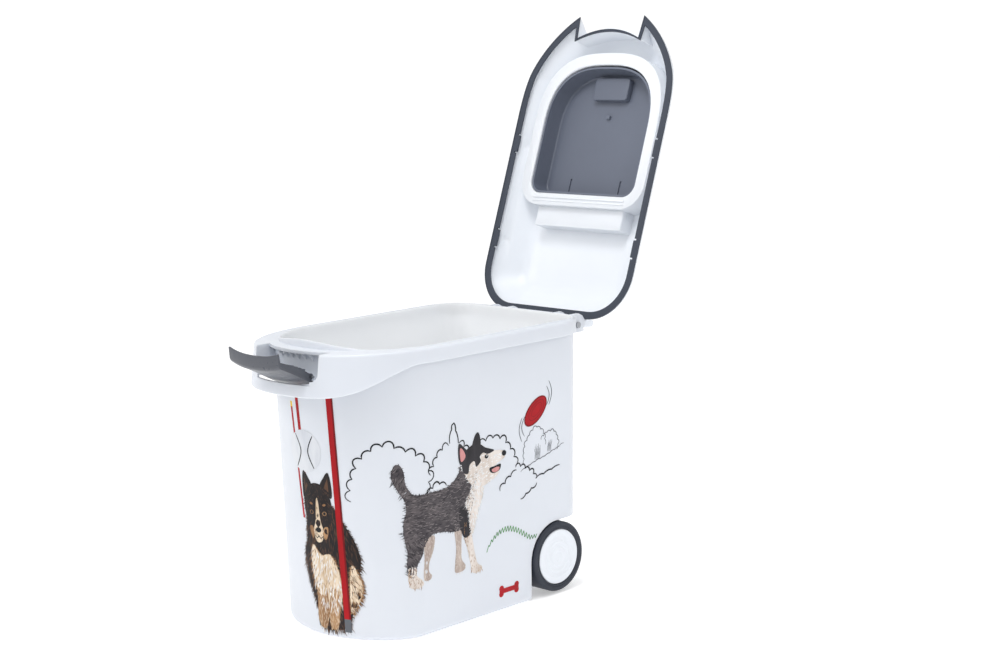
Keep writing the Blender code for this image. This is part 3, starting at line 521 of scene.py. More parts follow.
def notch_tool(grow):
    slope = (NOTCH_TIP_HALF_W - NOTCH_HALF_W) / NOTCH_DEPTH
    edge = notch_half(grow)
    corner_v, corner_u = edge[0]
    half = [(corner_v + slope * (NOTCH_TOOL_U - corner_u), NOTCH_TOOL_U)] + edge
    outline = half + [(-v, u) for v, u in reversed(half[:-1])]
    return prism("notch", [lid_point(v, u, 0)[:2] for v, u in outline], LID_BASE_Z - 0.02, LID_BASE_Z + 0.08)


def notch_arc_y(x):
    return LID_REAR_Y - NOTCH_CORNER_U - (NOTCH_MID_U - NOTCH_CORNER_U) * (1 - (x / NOTCH_HALF_W) ** 2)


def add_lid_arms(lid):
    outline = arc(LID_PIVOT.y, LID_PIVOT.z, 0.0062, math.radians(200), math.radians(380), 20)
    outline += [(0.2800, 0.3680), (0.2740, 0.3880), (0.2660, 0.3880), (0.2660, 0.3722), (0.2690, 0.3722)]
    for s in (-1, 1):
        add(lid, prism("arm", outline, *sorted((s * 0.050, s * 0.070)), "X"))
        cut(lid, rod("drill", LID_PIN_R + GAP, s * 0.045, s * 0.075, LID_PIVOT[1:]))


def add_tab_pockets(lid):
    """Shallow round pockets in the lid's slope beside each snap tab of the trim."""
    r, depth = 0.016, 0.0012
    for s in (-1, 1):
        for u in TAB_U:
            place = Vector(lid_point(s * 0.1235, u, 0.0155)) + (r - depth) * Vector((-s, 0, -1)).normalized()
            ball = bpy.data.meshes.new("ball")
            bm = bmesh.new()
            bmesh.ops.create_uvsphere(bm, u_segments=32, v_segments=20, radius=r)
            bmesh.ops.translate(bm, verts=bm.verts, vec=place)
            bm.to_mesh(ball)
            bm.free()
            cut(lid, placed("ball", ball))


def make_lid():
    lid = dome("lid_shell")
    hollow = dome("hollow", WALL, WALL, 0.005)
    cut(hollow, notch_tool(0.0008 + WALL))
    cut(lid, notch_tool(0.0008), hollow)
    add_tab_pockets(lid)
    edge = SURROUND_W + WALL
    low = SURROUND_LOW_W
    pan = feed_loft("pan", [(edge - 0.0015, low), (edge - 0.0004, low + 0.0005), (edge, low + 0.0016),
                            (edge, ABOVE_W)])
    add(lid, under_dome(pan, 0.0005, 0.0005))
    housing = lid_block("hinge_pan", HINGE_PAN_HALF_W + WALL, (HINGE_PAN_U[0] - WALL, HINGE_PAN_U[1]),
                        HINGE_PAN_W - WALL, ABOVE_W)
    add(lid, under_dome(rounded(housing, 0.0018, 4), 0.0005, 0.0007))
    cut(lid, feed_prism("pan_space", SURROUND_W, low + WALL, ABOVE_W))
    cut(lid, lid_block("hinge_space", HINGE_PAN_HALF_W, HINGE_PAN_U, HINGE_PAN_W, ABOVE_W))
    add(lid, feed_prism("chute", WALL, low + 0.0005, CHUTE_TOP_W))
    cut(lid, feed_loft("feed_opening", [(0.0012, -0.01), (0.0012, low), (0.0, low + 0.0012), (0.0, ABOVE_W)]))
    for u, high in ((0.1700, 0.0016), (0.1650, 0.0010)):
        add(lid, rounded(lid_block("ridge", 0.086, (u - 0.0012, u + 0.0012), low - high, low + 0.001), 0.0005,
                         2))
    xs = [0.052 * (k / 12 - 1) for k in range(25)]
    ledge = [(x, notch_arc_y(x) - 0.0115) for x in xs] + [(x, notch_arc_y(x) + 0.0020) for x in reversed(xs)]
    add(lid, prism("ledge", ledge, LID_BASE_Z + 0.0225, LID_BASE_Z + 0.0250))
    add_lid_arms(lid)
    flap_axis = lid_point(0, FLAP_AXIS_U, FLAP_AXIS_W)[1:]
    boss = [(flap_axis[0] + 0.0042, LID_BASE_Z + 0.030), *arc(*flap_axis, 0.0036, 0.0, math.pi, 16),
            (flap_axis[0] - 0.0042, LID_BASE_Z + 0.030)]
    for s in (-1, 1):
        add(lid, prism("boss", boss, *sorted((s * 0.0765, s * 0.0815)), "X"))
        cut(lid, rod("drill", PIN_R + GAP, s * 0.070, s * 0.0798, flap_axis))
    return turn_open(smooth(lid), LID_PIVOT, -LID_OPEN)


def make_trim():
    """The ring between lid and rim, with a thin lip round its outer edge and snap tabs on its inner edge."""
    lip, step = 0.0012, 0.0007
    rings = [lid_ring(0.0003, 0.0, 0.0003), lid_ring(0.0, 0.0004, 0.0), lid_ring(0.0, TRIM_H - 0.0004, 0.0),
             lid_ring(0.0004, TRIM_H, 0.0004), lid_ring(TRIM_W, TRIM_H, TRIM_NOTCH_W),
             lid_ring(TRIM_W, step + 0.0003, TRIM_NOTCH_W),
             lid_ring(TRIM_W - 0.0003, step, TRIM_NOTCH_W - 0.0003),
             lid_ring(lip + 0.0004, step, lip + 0.0004), lid_ring(lip, 0.0, lip)]
    trim = loft("lid_trim_ring", rings, closed=True)
    inner_v = LID_HALF_W - TRIM_W
    for s in (-1, 1):
        for u in TAB_U:
            y = LID_REAR_Y - u
            v0, v1 = sorted((s * (inner_v - 0.0012), s * (inner_v + 0.0012)))
            tab = block("tab", (v0, y - TAB_L / 2, LID_BASE_Z + 0.0009),
                        (v1, y + TAB_L / 2, LID_BASE_Z + TRIM_H + 0.0014))
            add(trim, rounded(tab, 0.0006, 2))
            for end in (-1, 1):
                middle = y + end * (TAB_L + TAB_SLOT) / 2
                v2, v3 = sorted((s * (inner_v - 0.004), s * (inner_v + 0.0035)))
                cut(trim, block("slot", (v2, middle - TAB_SLOT / 2, LID_BASE_Z - 0.01),
                                (v3, middle + TAB_SLOT / 2, LID_BASE_Z + 0.02)))
    return turn_open(smooth(trim), LID_PIVOT, -LID_OPEN)


# ---- feed flap ----
def make_flap():
    edge = SURROUND_W - 0.0014
    flap = under_dome(feed_prism("flap_cap", edge, 0.0275, ABOVE_W))
    add(flap, under_dome(lid_block("tail", HINGE_PAN_HALF_W - 0.003, (0.1445, 0.170), 0.0425, ABOVE_W)))
    cut(flap, under_dome(feed_prism("inner", edge - WALL, -0.001, ABOVE_W), WALL, WALL))
    low, high = (-SKIRT_PLAY, SKIRT_LOW_W), (-SKIRT_PLAY - SKIRT_TAPER, FLAP_FLOOR_W)
    wall = [low, high, (high[0], FLAP_FLOOR_W + FLAP_T)]
    dish = feed_loft("dish", wall, SKIRT_FRONT_PLAY)
    inner = high[0] - WALL
    space = [(low[0] - WALL, low[1] - 0.001), (inner + 0.0002, FLAP_FLOOR_W - 0.0030),
             (inner - 0.0006, FLAP_FLOOR_W - 0.0011),
             (inner - 0.0022, FLAP_FLOOR_W)]
    cut(dish, feed_loft("space", space, SKIRT_FRONT_PLAY))
    add(flap, dish)
    top = FLAP_FLOOR_W + 0.001
    grip_low, grip_u = 0.031, (0.320, 0.352)
    add(flap, rounded(lid_block("grip", 0.032, grip_u, grip_low, top + 0.0005), 0.0035, 5))
    space = lid_block("grip_space", 0.032 - WALL, (grip_u[0] + WALL, grip_u[1] - WALL), grip_low + WALL,
                      ABOVE_W)
    cut(flap, rounded(space, 0.0018, 3))
    add(flap, rounded(lid_block("peg", 0.003, (0.294, 0.299), 0.0370, top), 0.0006, 2))
    for s in (-1, 1):
        x0, x1 = sorted((s * 0.045, s * 0.048))
        cut(flap, block("slot", (x0, LID_REAR_Y - 0.205, 0.30),
                        (x1, LID_REAR_Y - 0.186, LID_BASE_Z + FLAP_FLOOR_W + 0.0018)))
    centre = lid_point(0, FLAP_AXIS_U, FLAP_AXIS_W)[1:]
    knuckle = arc(centre[0], centre[1], 0.0036, math.pi, math.tau, 20)
    knuckle += [(centre[0] + 0.0036, LID_BASE_Z + 0.0460), (centre[0] - 0.0036, LID_BASE_Z + 0.0460)]
    for s in (-1, 1):
        add(flap, prism("knuckle", knuckle, *sorted((s * 0.058, s * 0.0742)), "X"))
        cut(flap, rod("drill", PIN_R + GAP, s * 0.056, s * 0.080, centre))
    return turn_open(smooth(flap), LID_PIVOT, -LID_OPEN)


# ---- latch, modelled closed ----
def latch_front_y(x, z):
    return collar_front_y(x) - 0.0005 - 0.10 * max(0.3725 - z, 0.0)


def latch_section(x):
    low, top, t = LATCH_LOW_Z, LATCH_TOP_Z, LATCH_T
    f = lambda z: latch_front_y(x, z)
    tip = (f(top) + LATCH_LIP, top + LATCH_LIP_RISE)
    outside = [(f(low) + 0.0005, low), (f(low), low + 0.0006), (f(0.346), 0.346), (f(0.360), 0.360),
               (f(0.376), 0.376),
               (f(top) + 0.0002, top - 0.0065), (f(top) + 0.0010, top - 0.0028), (f(top) + 0.0035, top)]
    lip = [(tip[0] - 0.0006, tip[1]), (tip[0], tip[1] - 0.0006), (tip[0] + 0.0006, tip[1] - t + 0.0005),
           (tip[0] - 0.0001, tip[1] - t)]
    inside = [(f(top) + 0.0062, top - t), (f(top) + 0.0042, 0.3862), (f(0.376) + t, 0.3815),
              (f(0.360) + t, 0.360),
              (f(0.346) + t, 0.346), (f(low) + t, low + 0.0006), (f(low) + t - 0.0005, low)]
    return [(x, y, z) for y, z in outside + lip + inside]


def make_latch_cover():
    steps = 36
    cover = loft("latch_grip", [latch_section(LATCH_HALF_W * (2 * k / steps - 1)) for k in range(steps + 1)])
    front, top = latch_front_y(LATCH_HALF_W, 0.36) + 0.0012, LATCH_TOP_Z - 0.0015
    cheek = arc(LATCH_PIVOT.y, LATCH_PIVOT.z, 0.0040, math.radians(-90), math.radians(40), 14)
    cheek += [(LATCH_PIVOT.y + 0.0060, 0.3600), (front + 0.0080, top), (front + 0.003, top), (front, 0.372)]
    cheek += [(front - 0.001, LATCH_PIVOT.z - 0.0025)]
    for s in (-1, 1):
        add(cover, prism("cheek", cheek, *sorted((s * (LATCH_HALF_W - 0.0025), s * (LATCH_HALF_W - 0.0002))),
                         "X"))
        cut(cover, rod("drill", PIN_R + GAP, s * 0.043, s * 0.049, LATCH_PIVOT[1:]))
    return turn_open(smooth(cover), LATCH_PIVOT, LATCH_OPEN)


def make_latch_lattice():
    half, back, low, pitch, rows, columns = 0.036, LATCH_PIVOT.y + 0.0075, LATCH_PIVOT.z + 0.002, 0.0062, 4, 7
    high = low + (rows - 1) * pitch
    front = lambda x, z: latch_front_y(x, z) + LATCH_T + GAP
    xs = [half * (k / 12 - 1) for k in range(25)]
    rows_made = []
    for k in range(rows):
        z = low + k * pitch
        outline = [(x, front(x, z + RIB_T)) for x in xs] + [(x, back) for x in reversed(xs)]
        rows_made.append(prism("latch_ribs", outline, z, z + RIB_T))
    lattice = rows_made[0]
    add(lattice, *rows_made[1:])
    for k in range(columns):
        x = -half + RIB_T / 2 + k * (2 * half - RIB_T) / (columns - 1)
        add(lattice, block("column", (x - RIB_T / 2, front(x, high) + 0.0005, low + 0.0002),
                           (x + RIB_T / 2, back - 0.0004, high + RIB_T - 0.0002)))
    return turn_open(lattice, LATCH_PIVOT, LATCH_OPEN)


# ---- wheels ----
def bead(profile_point, r, start, end, side, steps=6):
    """A rounded corner in a (radius, x) profile."""
    cr, cx = profile_point
    return [(cr + r * math.cos(math.radians(start + (end - start) * k / steps)),
             cx + side * r * math.sin(math.radians(start + (end - start) * k / steps)))
            for k in range(steps + 1)]


def make_wheel(side, label):
    centre = (WHEEL_PLACE.y, WHEEL_PLACE.z)
    face = side * WHEEL_PLACE.x
    back = face - side * WHEEL_W
    x = lambda distance: side * distance
    tread = [(0.0392, back), (0.0440, back)]
    tread += bead((WHEEL_R - 0.0022, back + x(0.0022)), 0.0022, -90, 0, side)
    tread += bead((WHEEL_R - 0.0030, face - x(0.0030)), 0.0030, 0, 90, side)
    tread += [(0.0408, face), (0.0402, face - x(0.0005)), (0.0396, face), (0.0380, face),
              (0.0375, face - x(0.0005)),
              (0.0375, face - x(0.0035)), (0.0392, face - x(0.0035))]
    tyre = turned(f"wheel_tyre_{label}", tread, centre, 128)
    hub_back = x(0.1210 - WHEEL_W)
    hub = [(AXLE_R + GAP, hub_back + x(0.0005)), (0.010, hub_back + x(0.0005)), (0.010, x(0.1030)),
           (0.036, x(0.1030)),
           (0.036, hub_back + x(0.0015)), (0.0389, hub_back + x(0.0015)), (0.0389, x(0.1165)),
           (0.036, x(0.1165)),
           (0.036, x(0.1060)), (AXLE_R + GAP, x(0.1060))]
    wheel_hub = turned(f"wheel_core_{label}", hub, centre, 96)
    profile = [(0.0003, x(0.1172)), (0.036, x(0.1170)), (DISC_R - 0.0002, x(0.1176)),
               (DISC_R - 0.0002, x(0.1192))]
    profile += bead((DISC_R - 0.0015, x(0.1192)), 0.0013, 0, 90, side, 5)
    for outer, inner in ((0.0290, 0.0206), (0.0190, 0.0120)):
        profile += [(outer, x(0.1205)), (outer - 0.0008, x(0.1203)), (outer - 0.0014, x(0.1198)),
                    (inner + 0.0014, x(0.1198)), (inner + 0.0008, x(0.1203)), (inner, x(0.1205))]
    profile += [(0.0078, x(0.1205)), (0.0066, x(0.1201)), (0.0058, x(0.1196)), (0.0003, x(0.1196))]
    disc = turned(f"wheel_cap_{label}", profile, centre, 128)
    return tyre, wheel_hub, disc


# ---- printed film: shapes in millimetres, (along the wall, up), on the wall that faces +X ----
FILM_BACK, FILM_BASE, FILM_STEP = -0.00015, 0.00008, 0.00002
FILM_SMALL, FILM_GRID = 60, (4.0, 12.0)      # shapes over this many square mm get a grid, to follow the curve
WALL_FRONT_START = ARC_STEPS + 2
BASE_RING, NECK_RING = plan(BASE_PLAN), plan(NECK_PLAN)


def wall_places():
    """How far along the wall each outline point lies: y on the straight side, falling round the front."""
    middle = [((a[0] + b[0]) / 2, (a[1] + b[1]) / 2) for a, b in zip(BASE_RING, NECK_RING)]
    places = {WALL_FRONT_START: middle[WALL_FRONT_START][1]}
    for i in range(WALL_FRONT_START + 1, WALL_FRONT_START + 2 * FRONT_STEPS):
        places[i] = places[i - 1] - math.dist(middle[i], middle[i - 1])
    for i in range(WALL_FRONT_START - 1, 0, -1):
        places[i] = places[i + 1] + math.dist(middle[i], middle[i + 1])
    return places


PLACES = wall_places()


def wall_point(along, up, out):
    """The point on the wall at a place given in millimetres, moved outwards by out metres."""
    s, z = along / 1000, up / 1000
    i = next((i for i in sorted(PLACES)[:-1] if PLACES[i] >= s > PLACES[i + 1]), WALL_FRONT_START)
    t = (PLACES[i] - s) / (PLACES[i] - PLACES[i + 1])
    k = z / RIM_Z
    corner = lambda j: Vector([BASE_RING[j][c] * (1 - k) + NECK_RING[j][c] * k for c in (0, 1)])
    normal = lambda j: (corner(j + 1) - corner(j - 1)).normalized()
    flat = corner(i).lerp(corner(i + 1), t)
    along_wall = normal(i).lerp(normal(i + 1), t).normalized()
    return (flat.x - along_wall.y * out, flat.y + along_wall.x * out, z)


def soft_shape(*points):
    """A closed outline with a smooth edge through the points."""
    return curve_through(points, steps=4)


def stroke(line, width):
    """The outline of a pen stroke along a line, thinner towards its ends."""
    left, right = [], []
    for k, p in enumerate(line):
        a, b = Vector(line[max(k - 1, 0)]), Vector(line[min(k + 1, len(line) - 1)])
        across = (b - a).orthogonal().normalized()
        half = width / 2 * (0.45 + 0.55 * math.sin(math.pi * k / (len(line) - 1)) ** 0.4)
        left.append(tuple(Vector(p) + across * half))
        right.append(tuple(Vector(p) - across * half))
    return left + right[::-1]


def ellipse(along, up, half_a, half_b, tilt=0.0, steps=40):
    c, s = math.cos(math.radians(tilt)), math.sin(math.radians(tilt))
    turns = [math.tau * k / steps for k in range(steps)]
    return [(along + half_a * math.cos(a) * c - half_b * math.sin(a) * s,
             up + half_a * math.cos(a) * s + half_b * math.sin(a) * c) for a in turns]


def ring_stroke(along, up, half_a, half_b, width, tilt=0.0, steps=48):
    """Short arcs that together draw a ring."""
    outer = ellipse(along, up, half_a, half_b, tilt, steps)
    inner = ellipse(along, up, half_a - width, half_b - width, tilt, steps)
    return [[outer[k], outer[(k + 1) % steps], inner[(k + 1) % steps], inner[k]] for k in range(steps)]


def lobed(path, bumps, height, steps=7):
    """A scribbled cloud line that runs along a path in round lobes, on its left."""
    line = curve_through(path, closed=False, steps=12)
    lengths = [0.0]
    for a, b in zip(line, line[1:]):
        lengths.append(lengths[-1] + math.dist(a, b))
    drawn = []
    for k in range(bumps * steps + 1):
        share = k / (bumps * steps)
        target = share * lengths[-1]
        j = min(next((n for n, v in enumerate(lengths) if v >= target), 1) or 1, len(line) - 1)
        a, b = Vector(line[j - 1]), Vector(line[j])
        p = a.lerp(b, (target - lengths[j - 1]) / (lengths[j] - lengths[j - 1]))
        side = Vector((-(b - a).y, (b - a).x)).normalized()
        size = height * (0.75 + 0.25 * math.sin(2.3 * (k // steps) + 1))
        drawn.append(tuple(p + side * size * abs(math.sin(math.pi * k / steps)) ** 0.7))
    return drawn


def patch(name, outlines, layer, material):
    """Thin closed shapes that lie on the wall and follow its curve."""
    verts, faces = [], []
    front = FILM_BASE + FILM_STEP * layer
    for outline in outlines:
        points = [Vector(p) for p in outline]
        edges = [(i, (i + 1) % len(points)) for i in range(len(points))]
        low = [min(p[c] for p in outline) for c in (0, 1)]
        high = [max(p[c] for p in outline) for c in (0, 1)]
        if (high[0] - low[0]) * (high[1] - low[1]) > FILM_SMALL:
            points += [Vector((a, b)) for a in spread(low[0], high[0], FILM_GRID[0])
                       for b in spread(low[1], high[1], FILM_GRID[1])]
        flat, _, triangles, *_ = delaunay_2d_cdt(points, edges, [], 1, 1e-4)
        start, count = len(verts), len(flat)
        for out in (front, FILM_BACK):
            verts += [wall_point(p[0], p[1], out) for p in flat]
        used = {}
        for triangle in triangles:
            faces.append(tuple(start + i for i in triangle))
            faces.append(tuple(start + count + i for i in reversed(triangle)))
            for a, b in zip(triangle, (*triangle[1:], triangle[0])):
                used[(a, b)] = used.get((a, b), 0) + 1
        for a, b in used:
            if (b, a) not in used:
                faces.append((start + b, start + a, start + count + a, start + count + b))
    mesh = bpy.data.meshes.new(name)
    mesh.from_pydata(verts, [], faces)
    return dress(placed(name, mesh), "tub", material)


def spread(low, high, step):
    """Evenly spaced values inside an interval."""
    return [low + step * (k + 0.5) for k in range(max(int((high - low) / step), 0))]


def inside(point, outline):
    hit = False
    for (x0, y0), (x1, y1) in zip(outline, outline[1:] + outline[:1]):
        if (y0 > point[1]) != (y1 > point[1]) and point[0] < (x1 - x0) * (point[1] - y0) / (y1 - y0) + x0:
            hit = not hit
    return hit


def fur(outline, count, length, direction, seed, width=0.9):
    """Short tapered hairs scattered inside an outline, each lying along direction(along, up) in degrees."""
    chance = random.Random(seed)
    low = [min(p[c] for p in outline) for c in (0, 1)]
    high = [max(p[c] for p in outline) for c in (0, 1)]
    hairs = []
    while len(hairs) < count:
        p = (chance.uniform(low[0], high[0]), chance.uniform(low[1], high[1]))
        if not inside(p, outline):
            continue
        a = math.radians(direction(*p) + chance.uniform(-22, 22))
        reach = length * chance.uniform(0.6, 1.3)
        along, across = Vector((math.cos(a), math.sin(a))), Vector((-math.sin(a), math.cos(a))) * width / 2
        p = Vector(p)
        hairs.append([tuple(p), tuple(p + along * reach * 0.4 + across), tuple(p + along * reach),
                      tuple(p + along * reach * 0.4 - across)])
    return hairs


def edge_fur(outline, spacing, length, seed, lean=0.0, width=1.4):
    """Tapered tufts that stand out from an outline, so that its edge isn't a clean line."""
    chance = random.Random(seed)
    area = sum(a[0] * b[1] - b[0] * a[1] for a, b in zip(outline, outline[1:] + outline[:1]))
    tufts = []
    for a, b in zip(outline, outline[1:] + outline[:1]):
        a, b = Vector(a), Vector(b)
        out = Vector(((b - a).y, -(b - a).x)).normalized() * (1 if area > 0 else -1)
        for _ in range(max(int((b - a).length / spacing), 1)):
            p = a.lerp(b, chance.random()) - out * 0.8
            reach = (out + Vector((0, lean))) * length * chance.uniform(0.5, 1.2)
            tip = p + reach + (b - a).normalized() * chance.uniform(-1, 1)
            side = (b - a).normalized() * width / 2
            tufts.append([tuple(p - side), tuple(p + side), tuple(tip)])
    return tufts


# ---- materials ----
def tone(red, green, blue):
    """A linear colour from 0-255 screen values."""
    return tuple(v / 255 / 12.92 if v <= 10 else ((v / 255 + 0.055) / 1.055) ** 2.4
                 for v in (red, green, blue))


def node(tree, kind, **settings):
    made = tree.nodes.new(f"ShaderNode{kind}")
    for key, value in settings.items():
        setattr(made, key, value)
    return made


def noise(tree, coord, scale, detail=3.0, roughness=0.5, stretch=(1, 1, 1)):
    mapping = node(tree, "Mapping")
    mapping.inputs["Scale"].default_value = stretch
    made = node(tree, "TexNoise")
    made.inputs["Scale"].default_value, made.inputs["Detail"].default_value = scale, detail
    made.inputs["Roughness"].default_value = roughness
    tree.links.new(coord, mapping.inputs["Vector"])
    tree.links.new(mapping.outputs["Vector"], made.inputs["Vector"])
    return made.outputs["Fac"]


def spread_to(tree, value, low, high, from_low=0.3, from_high=0.7):
    made = node(tree, "MapRange")
    for key, number in (("From Min", from_low), ("From Max", from_high), ("To Min", low), ("To Max", high)):
        made.inputs[key].default_value = number
    tree.links.new(value, made.inputs["Value"])
    return made.outputs["Result"]


def blend_colours(tree, factor, first, second):
    """Mixes two colours, each a plain colour or the output of another node."""
    mix = node(tree, "Mix", data_type="RGBA")
    tree.links.new(factor, mix.inputs["Factor"])
    for key, colour in (("A", first), ("B", second)):
        socket = next(i for i in mix.inputs if i.name == key and i.type == "RGBA")
        if isinstance(colour, tuple):
            socket.default_value = (*colour, 1)
        else:
            tree.links.new(colour, socket)
    return next(o for o in mix.outputs if o.type == "RGBA")


def new_material(name):
    """A material with its node tree, its shader and the object's own coordinates."""
    material = bpy.data.materials.new(name)
    material.use_nodes = True
    tree = material.node_tree
    return material, tree, tree.nodes["Principled BSDF"], node(tree, "TexCoord").outputs["Object"]


def bumped(tree, height, strength, distance, below=None):
    """A bump of the given strength and height in metres, laid over another normal if there is one."""
    made = node(tree, "Bump")
    made.inputs["Strength"].default_value, made.inputs["Distance"].default_value = strength, distance
    tree.links.new(height, made.inputs["Height"])
    if below:
        tree.links.new(below, made.inputs["Normal"])
    return made.outputs["Normal"]


def moulded(name, colour, roughness=0.38, grain=2200, bump=0.10, shade=0.06, scuff=0.05, edge_highlight=0.08,
            sheen=0.35,
            glow=0.0):
    """Injection-moulded plastic: fine grain, a faint change of colour, a painted highlight along convex edges
    and light scuffs.
    """
    material, tree, shader, coord = new_material(name)
    shader.inputs["Specular IOR Level"].default_value = sheen
    shader.inputs["Subsurface Weight"].default_value = glow
    shader.inputs["Subsurface Radius"].default_value = (1.0, 1.0, 1.0)
    shader.inputs["Subsurface Scale"].default_value = 0.006
    cloud = noise(tree, coord, 7, 4, 0.55)
    mottled = blend_colours(tree, spread_to(tree, cloud, 0, 1), tuple(c * (1 - shade) for c in colour),
                            tuple(min(c * (1 + shade), 0.95) for c in colour))
    # painted highlight: the colour is lightened where the surface is convex, along the edges
    edges = spread_to(tree, node(tree, "NewGeometry").outputs["Pointiness"], 0, edge_highlight, 0.52, 0.62)
    highlit_edges = blend_colours(tree, edges, mottled, tuple(min(c * 1.5 + 0.04, 0.95) for c in colour))
    streaks = noise(tree, coord, 60, 6, 0.7, (1, 0.12, 3))
    marks = spread_to(tree, streaks, 0, scuff, 0.60, 0.78)
    dulled = blend_colours(tree, marks, highlit_edges, tuple(c * 0.72 + 0.02 for c in colour))
    tree.links.new(dulled, shader.inputs["Base Color"])
    rough = noise(tree, coord, 140, 5, 0.6)
    tree.links.new(spread_to(tree, rough, roughness - 0.06, roughness + 0.08), shader.inputs["Roughness"])
    fine = bumped(tree, noise(tree, coord, grain, 2, 0.5), bump, 0.0002)
    wavy = bumped(tree, noise(tree, coord, 26, 2), 0.08, 0.0008, fine)
    tree.links.new(wavy, shader.inputs["Normal"])
    return material


def rubber(name, colour):
    """Matt tyre plastic: a coarser grain with dust in it."""
    return moulded(name, colour, 0.55, 1400, 0.35, 0.12, 0.10, 0.15, 0.4)


def metal(name, colour):
    """Drawn steel pins: fine lines along the length and dull patches."""
    material, tree, shader, coord = new_material(name)
    shader.inputs["Metallic"].default_value = 1.0
    lines = noise(tree, coord, 400, 4, 0.6, (0.1, 3, 3))
    tree.links.new(blend_colours(tree, spread_to(tree, lines, 0, 1), tuple(c * 0.8 for c in colour), colour),
                   shader.inputs["Base Color"])
    tree.links.new(spread_to(tree, lines, 0.22, 0.42), shader.inputs["Roughness"])
    tree.links.new(bumped(tree, lines, 0.15, 0.0001), shader.inputs["Normal"])
    return material


def ink(name, colour, second=None, scale=120, stretch=(1, 1, 0.25), roughness=0.36):
    """Printed film: a flat ink, or two inks broken up like a half-tone, under a thin gloss."""
    material, tree, shader, coord = new_material(name)
    other = second or tuple(c * 0.86 for c in colour)
    shader.inputs["Specular IOR Level"].default_value = 0.18
    pattern = noise(tree, coord, scale, 6, 0.65, stretch)
    tree.links.new(blend_colours(tree, spread_to(tree, pattern, 0, 1, 0.38, 0.62), colour, other),
                   shader.inputs["Base Color"])
    rough = noise(tree, coord, 300, 3)
    tree.links.new(spread_to(tree, rough, roughness - 0.05, roughness + 0.06), shader.inputs["Roughness"])
    tree.links.new(bumped(tree, noise(tree, coord, 1800, 2), 0.08, 0.0001), shader.inputs["Normal"])
    return material


WHITE_SHELL = moulded("white_polypropylene", tone(212, 216, 223), 0.36, shade=0.015, scuff=0.03, edge_highlight=0.0,
                      sheen=0.5, glow=0.5)
# painted light: a lighter copy of the white plastic, for the inside faces of the food space
WHITE_INSIDE_PAINTED_LIGHT = moulded("white_inside_painted_light", tone(244, 246, 249), 0.40, shade=0.01, scuff=0.03, edge_highlight=0.0,
                       sheen=0.5,
                       glow=0.5)
WHITE_LID = moulded("white_lid_plastic", tone(226, 230, 236), 0.34, shade=0.015, scuff=0.02, edge_highlight=0.0,
                    sheen=0.5, glow=0.4)
SLATE = moulded("slate_plastic", tone(54, 60, 72), 0.40, shade=0.07, scuff=0.10, edge_highlight=0.20)
FLAP_SLATE = moulded("slate_flap_plastic", tone(98, 104, 118), 0.42, 1600, 0.2, 0.06, 0.15, 0.25)
LATCH_GREY = moulded("latch_plastic", tone(74, 77, 85), 0.32, shade=0.05, scuff=0.0, edge_highlight=0.2)
RIB_GREY = moulded("latch_rib_plastic", tone(96, 102, 114), 0.38, shade=0.06)
HUB_GREY = moulded("hub_plastic", tone(70, 74, 82), 0.45)
TYRE = rubber("tyre_plastic", tone(40, 45, 56))
CAP_WHITE = moulded("white_cap_plastic", tone(228, 232, 238), 0.42, 1800, 0.12, 0.015, 0.03, 0.0)
STEEL = metal("drawn_steel", tone(168, 171, 176))

# ---- printed drawing: a garden with two dogs, all simple shapes of its own ----
BLACK_INK = ink("line_ink", tone(28, 30, 34))
GREY_INK = ink("fine_line_ink", tone(70, 74, 80))
RED_INK = ink("red_ink", tone(172, 14, 26), tone(156, 10, 20), 30)
DEEP_RED = ink("deep_red_ink", tone(128, 10, 20), tone(108, 8, 16), 30)
GREEN_INK = ink("green_ink", tone(70, 150, 62), tone(44, 118, 44), 80)
YELLOW_INK = ink("yellow_ink", tone(236, 196, 38))
BALL_INK = ink("ball_ink", tone(216, 219, 224), tone(198, 202, 210), 40)
WHITE_INK = ink("white_ink", tone(236, 238, 240))
SHADOW_INK = ink("shadow_ink", tone(96, 100, 106), tone(78, 82, 88), 60)
GREY_COAT = ink("grey_coat_ink", tone(96, 90, 92), tone(66, 62, 66), 70, (1, 0.5, 1))
GREY_COAT_DARK = ink("grey_coat_dark_ink", tone(52, 50, 54), tone(38, 36, 40), 90)
GREY_COAT_LIGHT = ink("grey_coat_light_ink", tone(138, 130, 130), tone(112, 106, 108), 90)
PALE_COAT = ink("pale_coat_ink", tone(226, 218, 212), tone(200, 188, 178), 60)
FAR_COAT = ink("far_coat_ink", tone(196, 182, 172), tone(160, 144, 136), 60)
TAN_COAT = ink("tan_coat_ink", tone(176, 138, 100), tone(132, 96, 66), 70)
CREAM_COAT = ink("cream_coat_ink", tone(228, 212, 190), tone(196, 172, 142), 80)
BLACK_COAT = ink("black_coat_ink", tone(42, 36, 36), tone(26, 22, 24), 80)
BROWN_COAT = ink("brown_coat_ink", tone(92, 66, 50), tone(62, 44, 36), 80)
SKIN_INK = ink("skin_ink", tone(206, 146, 144), tone(186, 118, 120), 60)


def print_poles():
    patch("print_pole_near", [[(-170, 311), (-161, 311), (-150, 26), (-159.5, 26)]], 14, RED_INK)
    patch("print_pole_near_edge", [[(-163.2, 311), (-161, 311), (-150, 26), (-152.4, 26)]], 15, DEEP_RED)
    patch("print_pole_foot", [[(-159.5, 26), (-150, 26), (-149.4, 9), (-159, 9)]], 14, SHADOW_INK)
    patch("print_pole_middle", [[(-219, 312), (-213.6, 312), (-203, 120), (-207.6, 120)]], 1, RED_INK)
    patch("print_pole_middle_foot", [[(-203.6, 52), (-200, 52), (-197.4, 12), (-201, 12)]], 1, SHADOW_INK)
    patch("print_pole_far", [[(-229, 291), (-225.4, 291), (-216, 150), (-219.4, 150)]], 1, RED_INK)
    patch("print_pole_far_top", [[(-229.4, 298), (-225.6, 298), (-225.4, 291), (-229, 291)]], 2, YELLOW_INK)


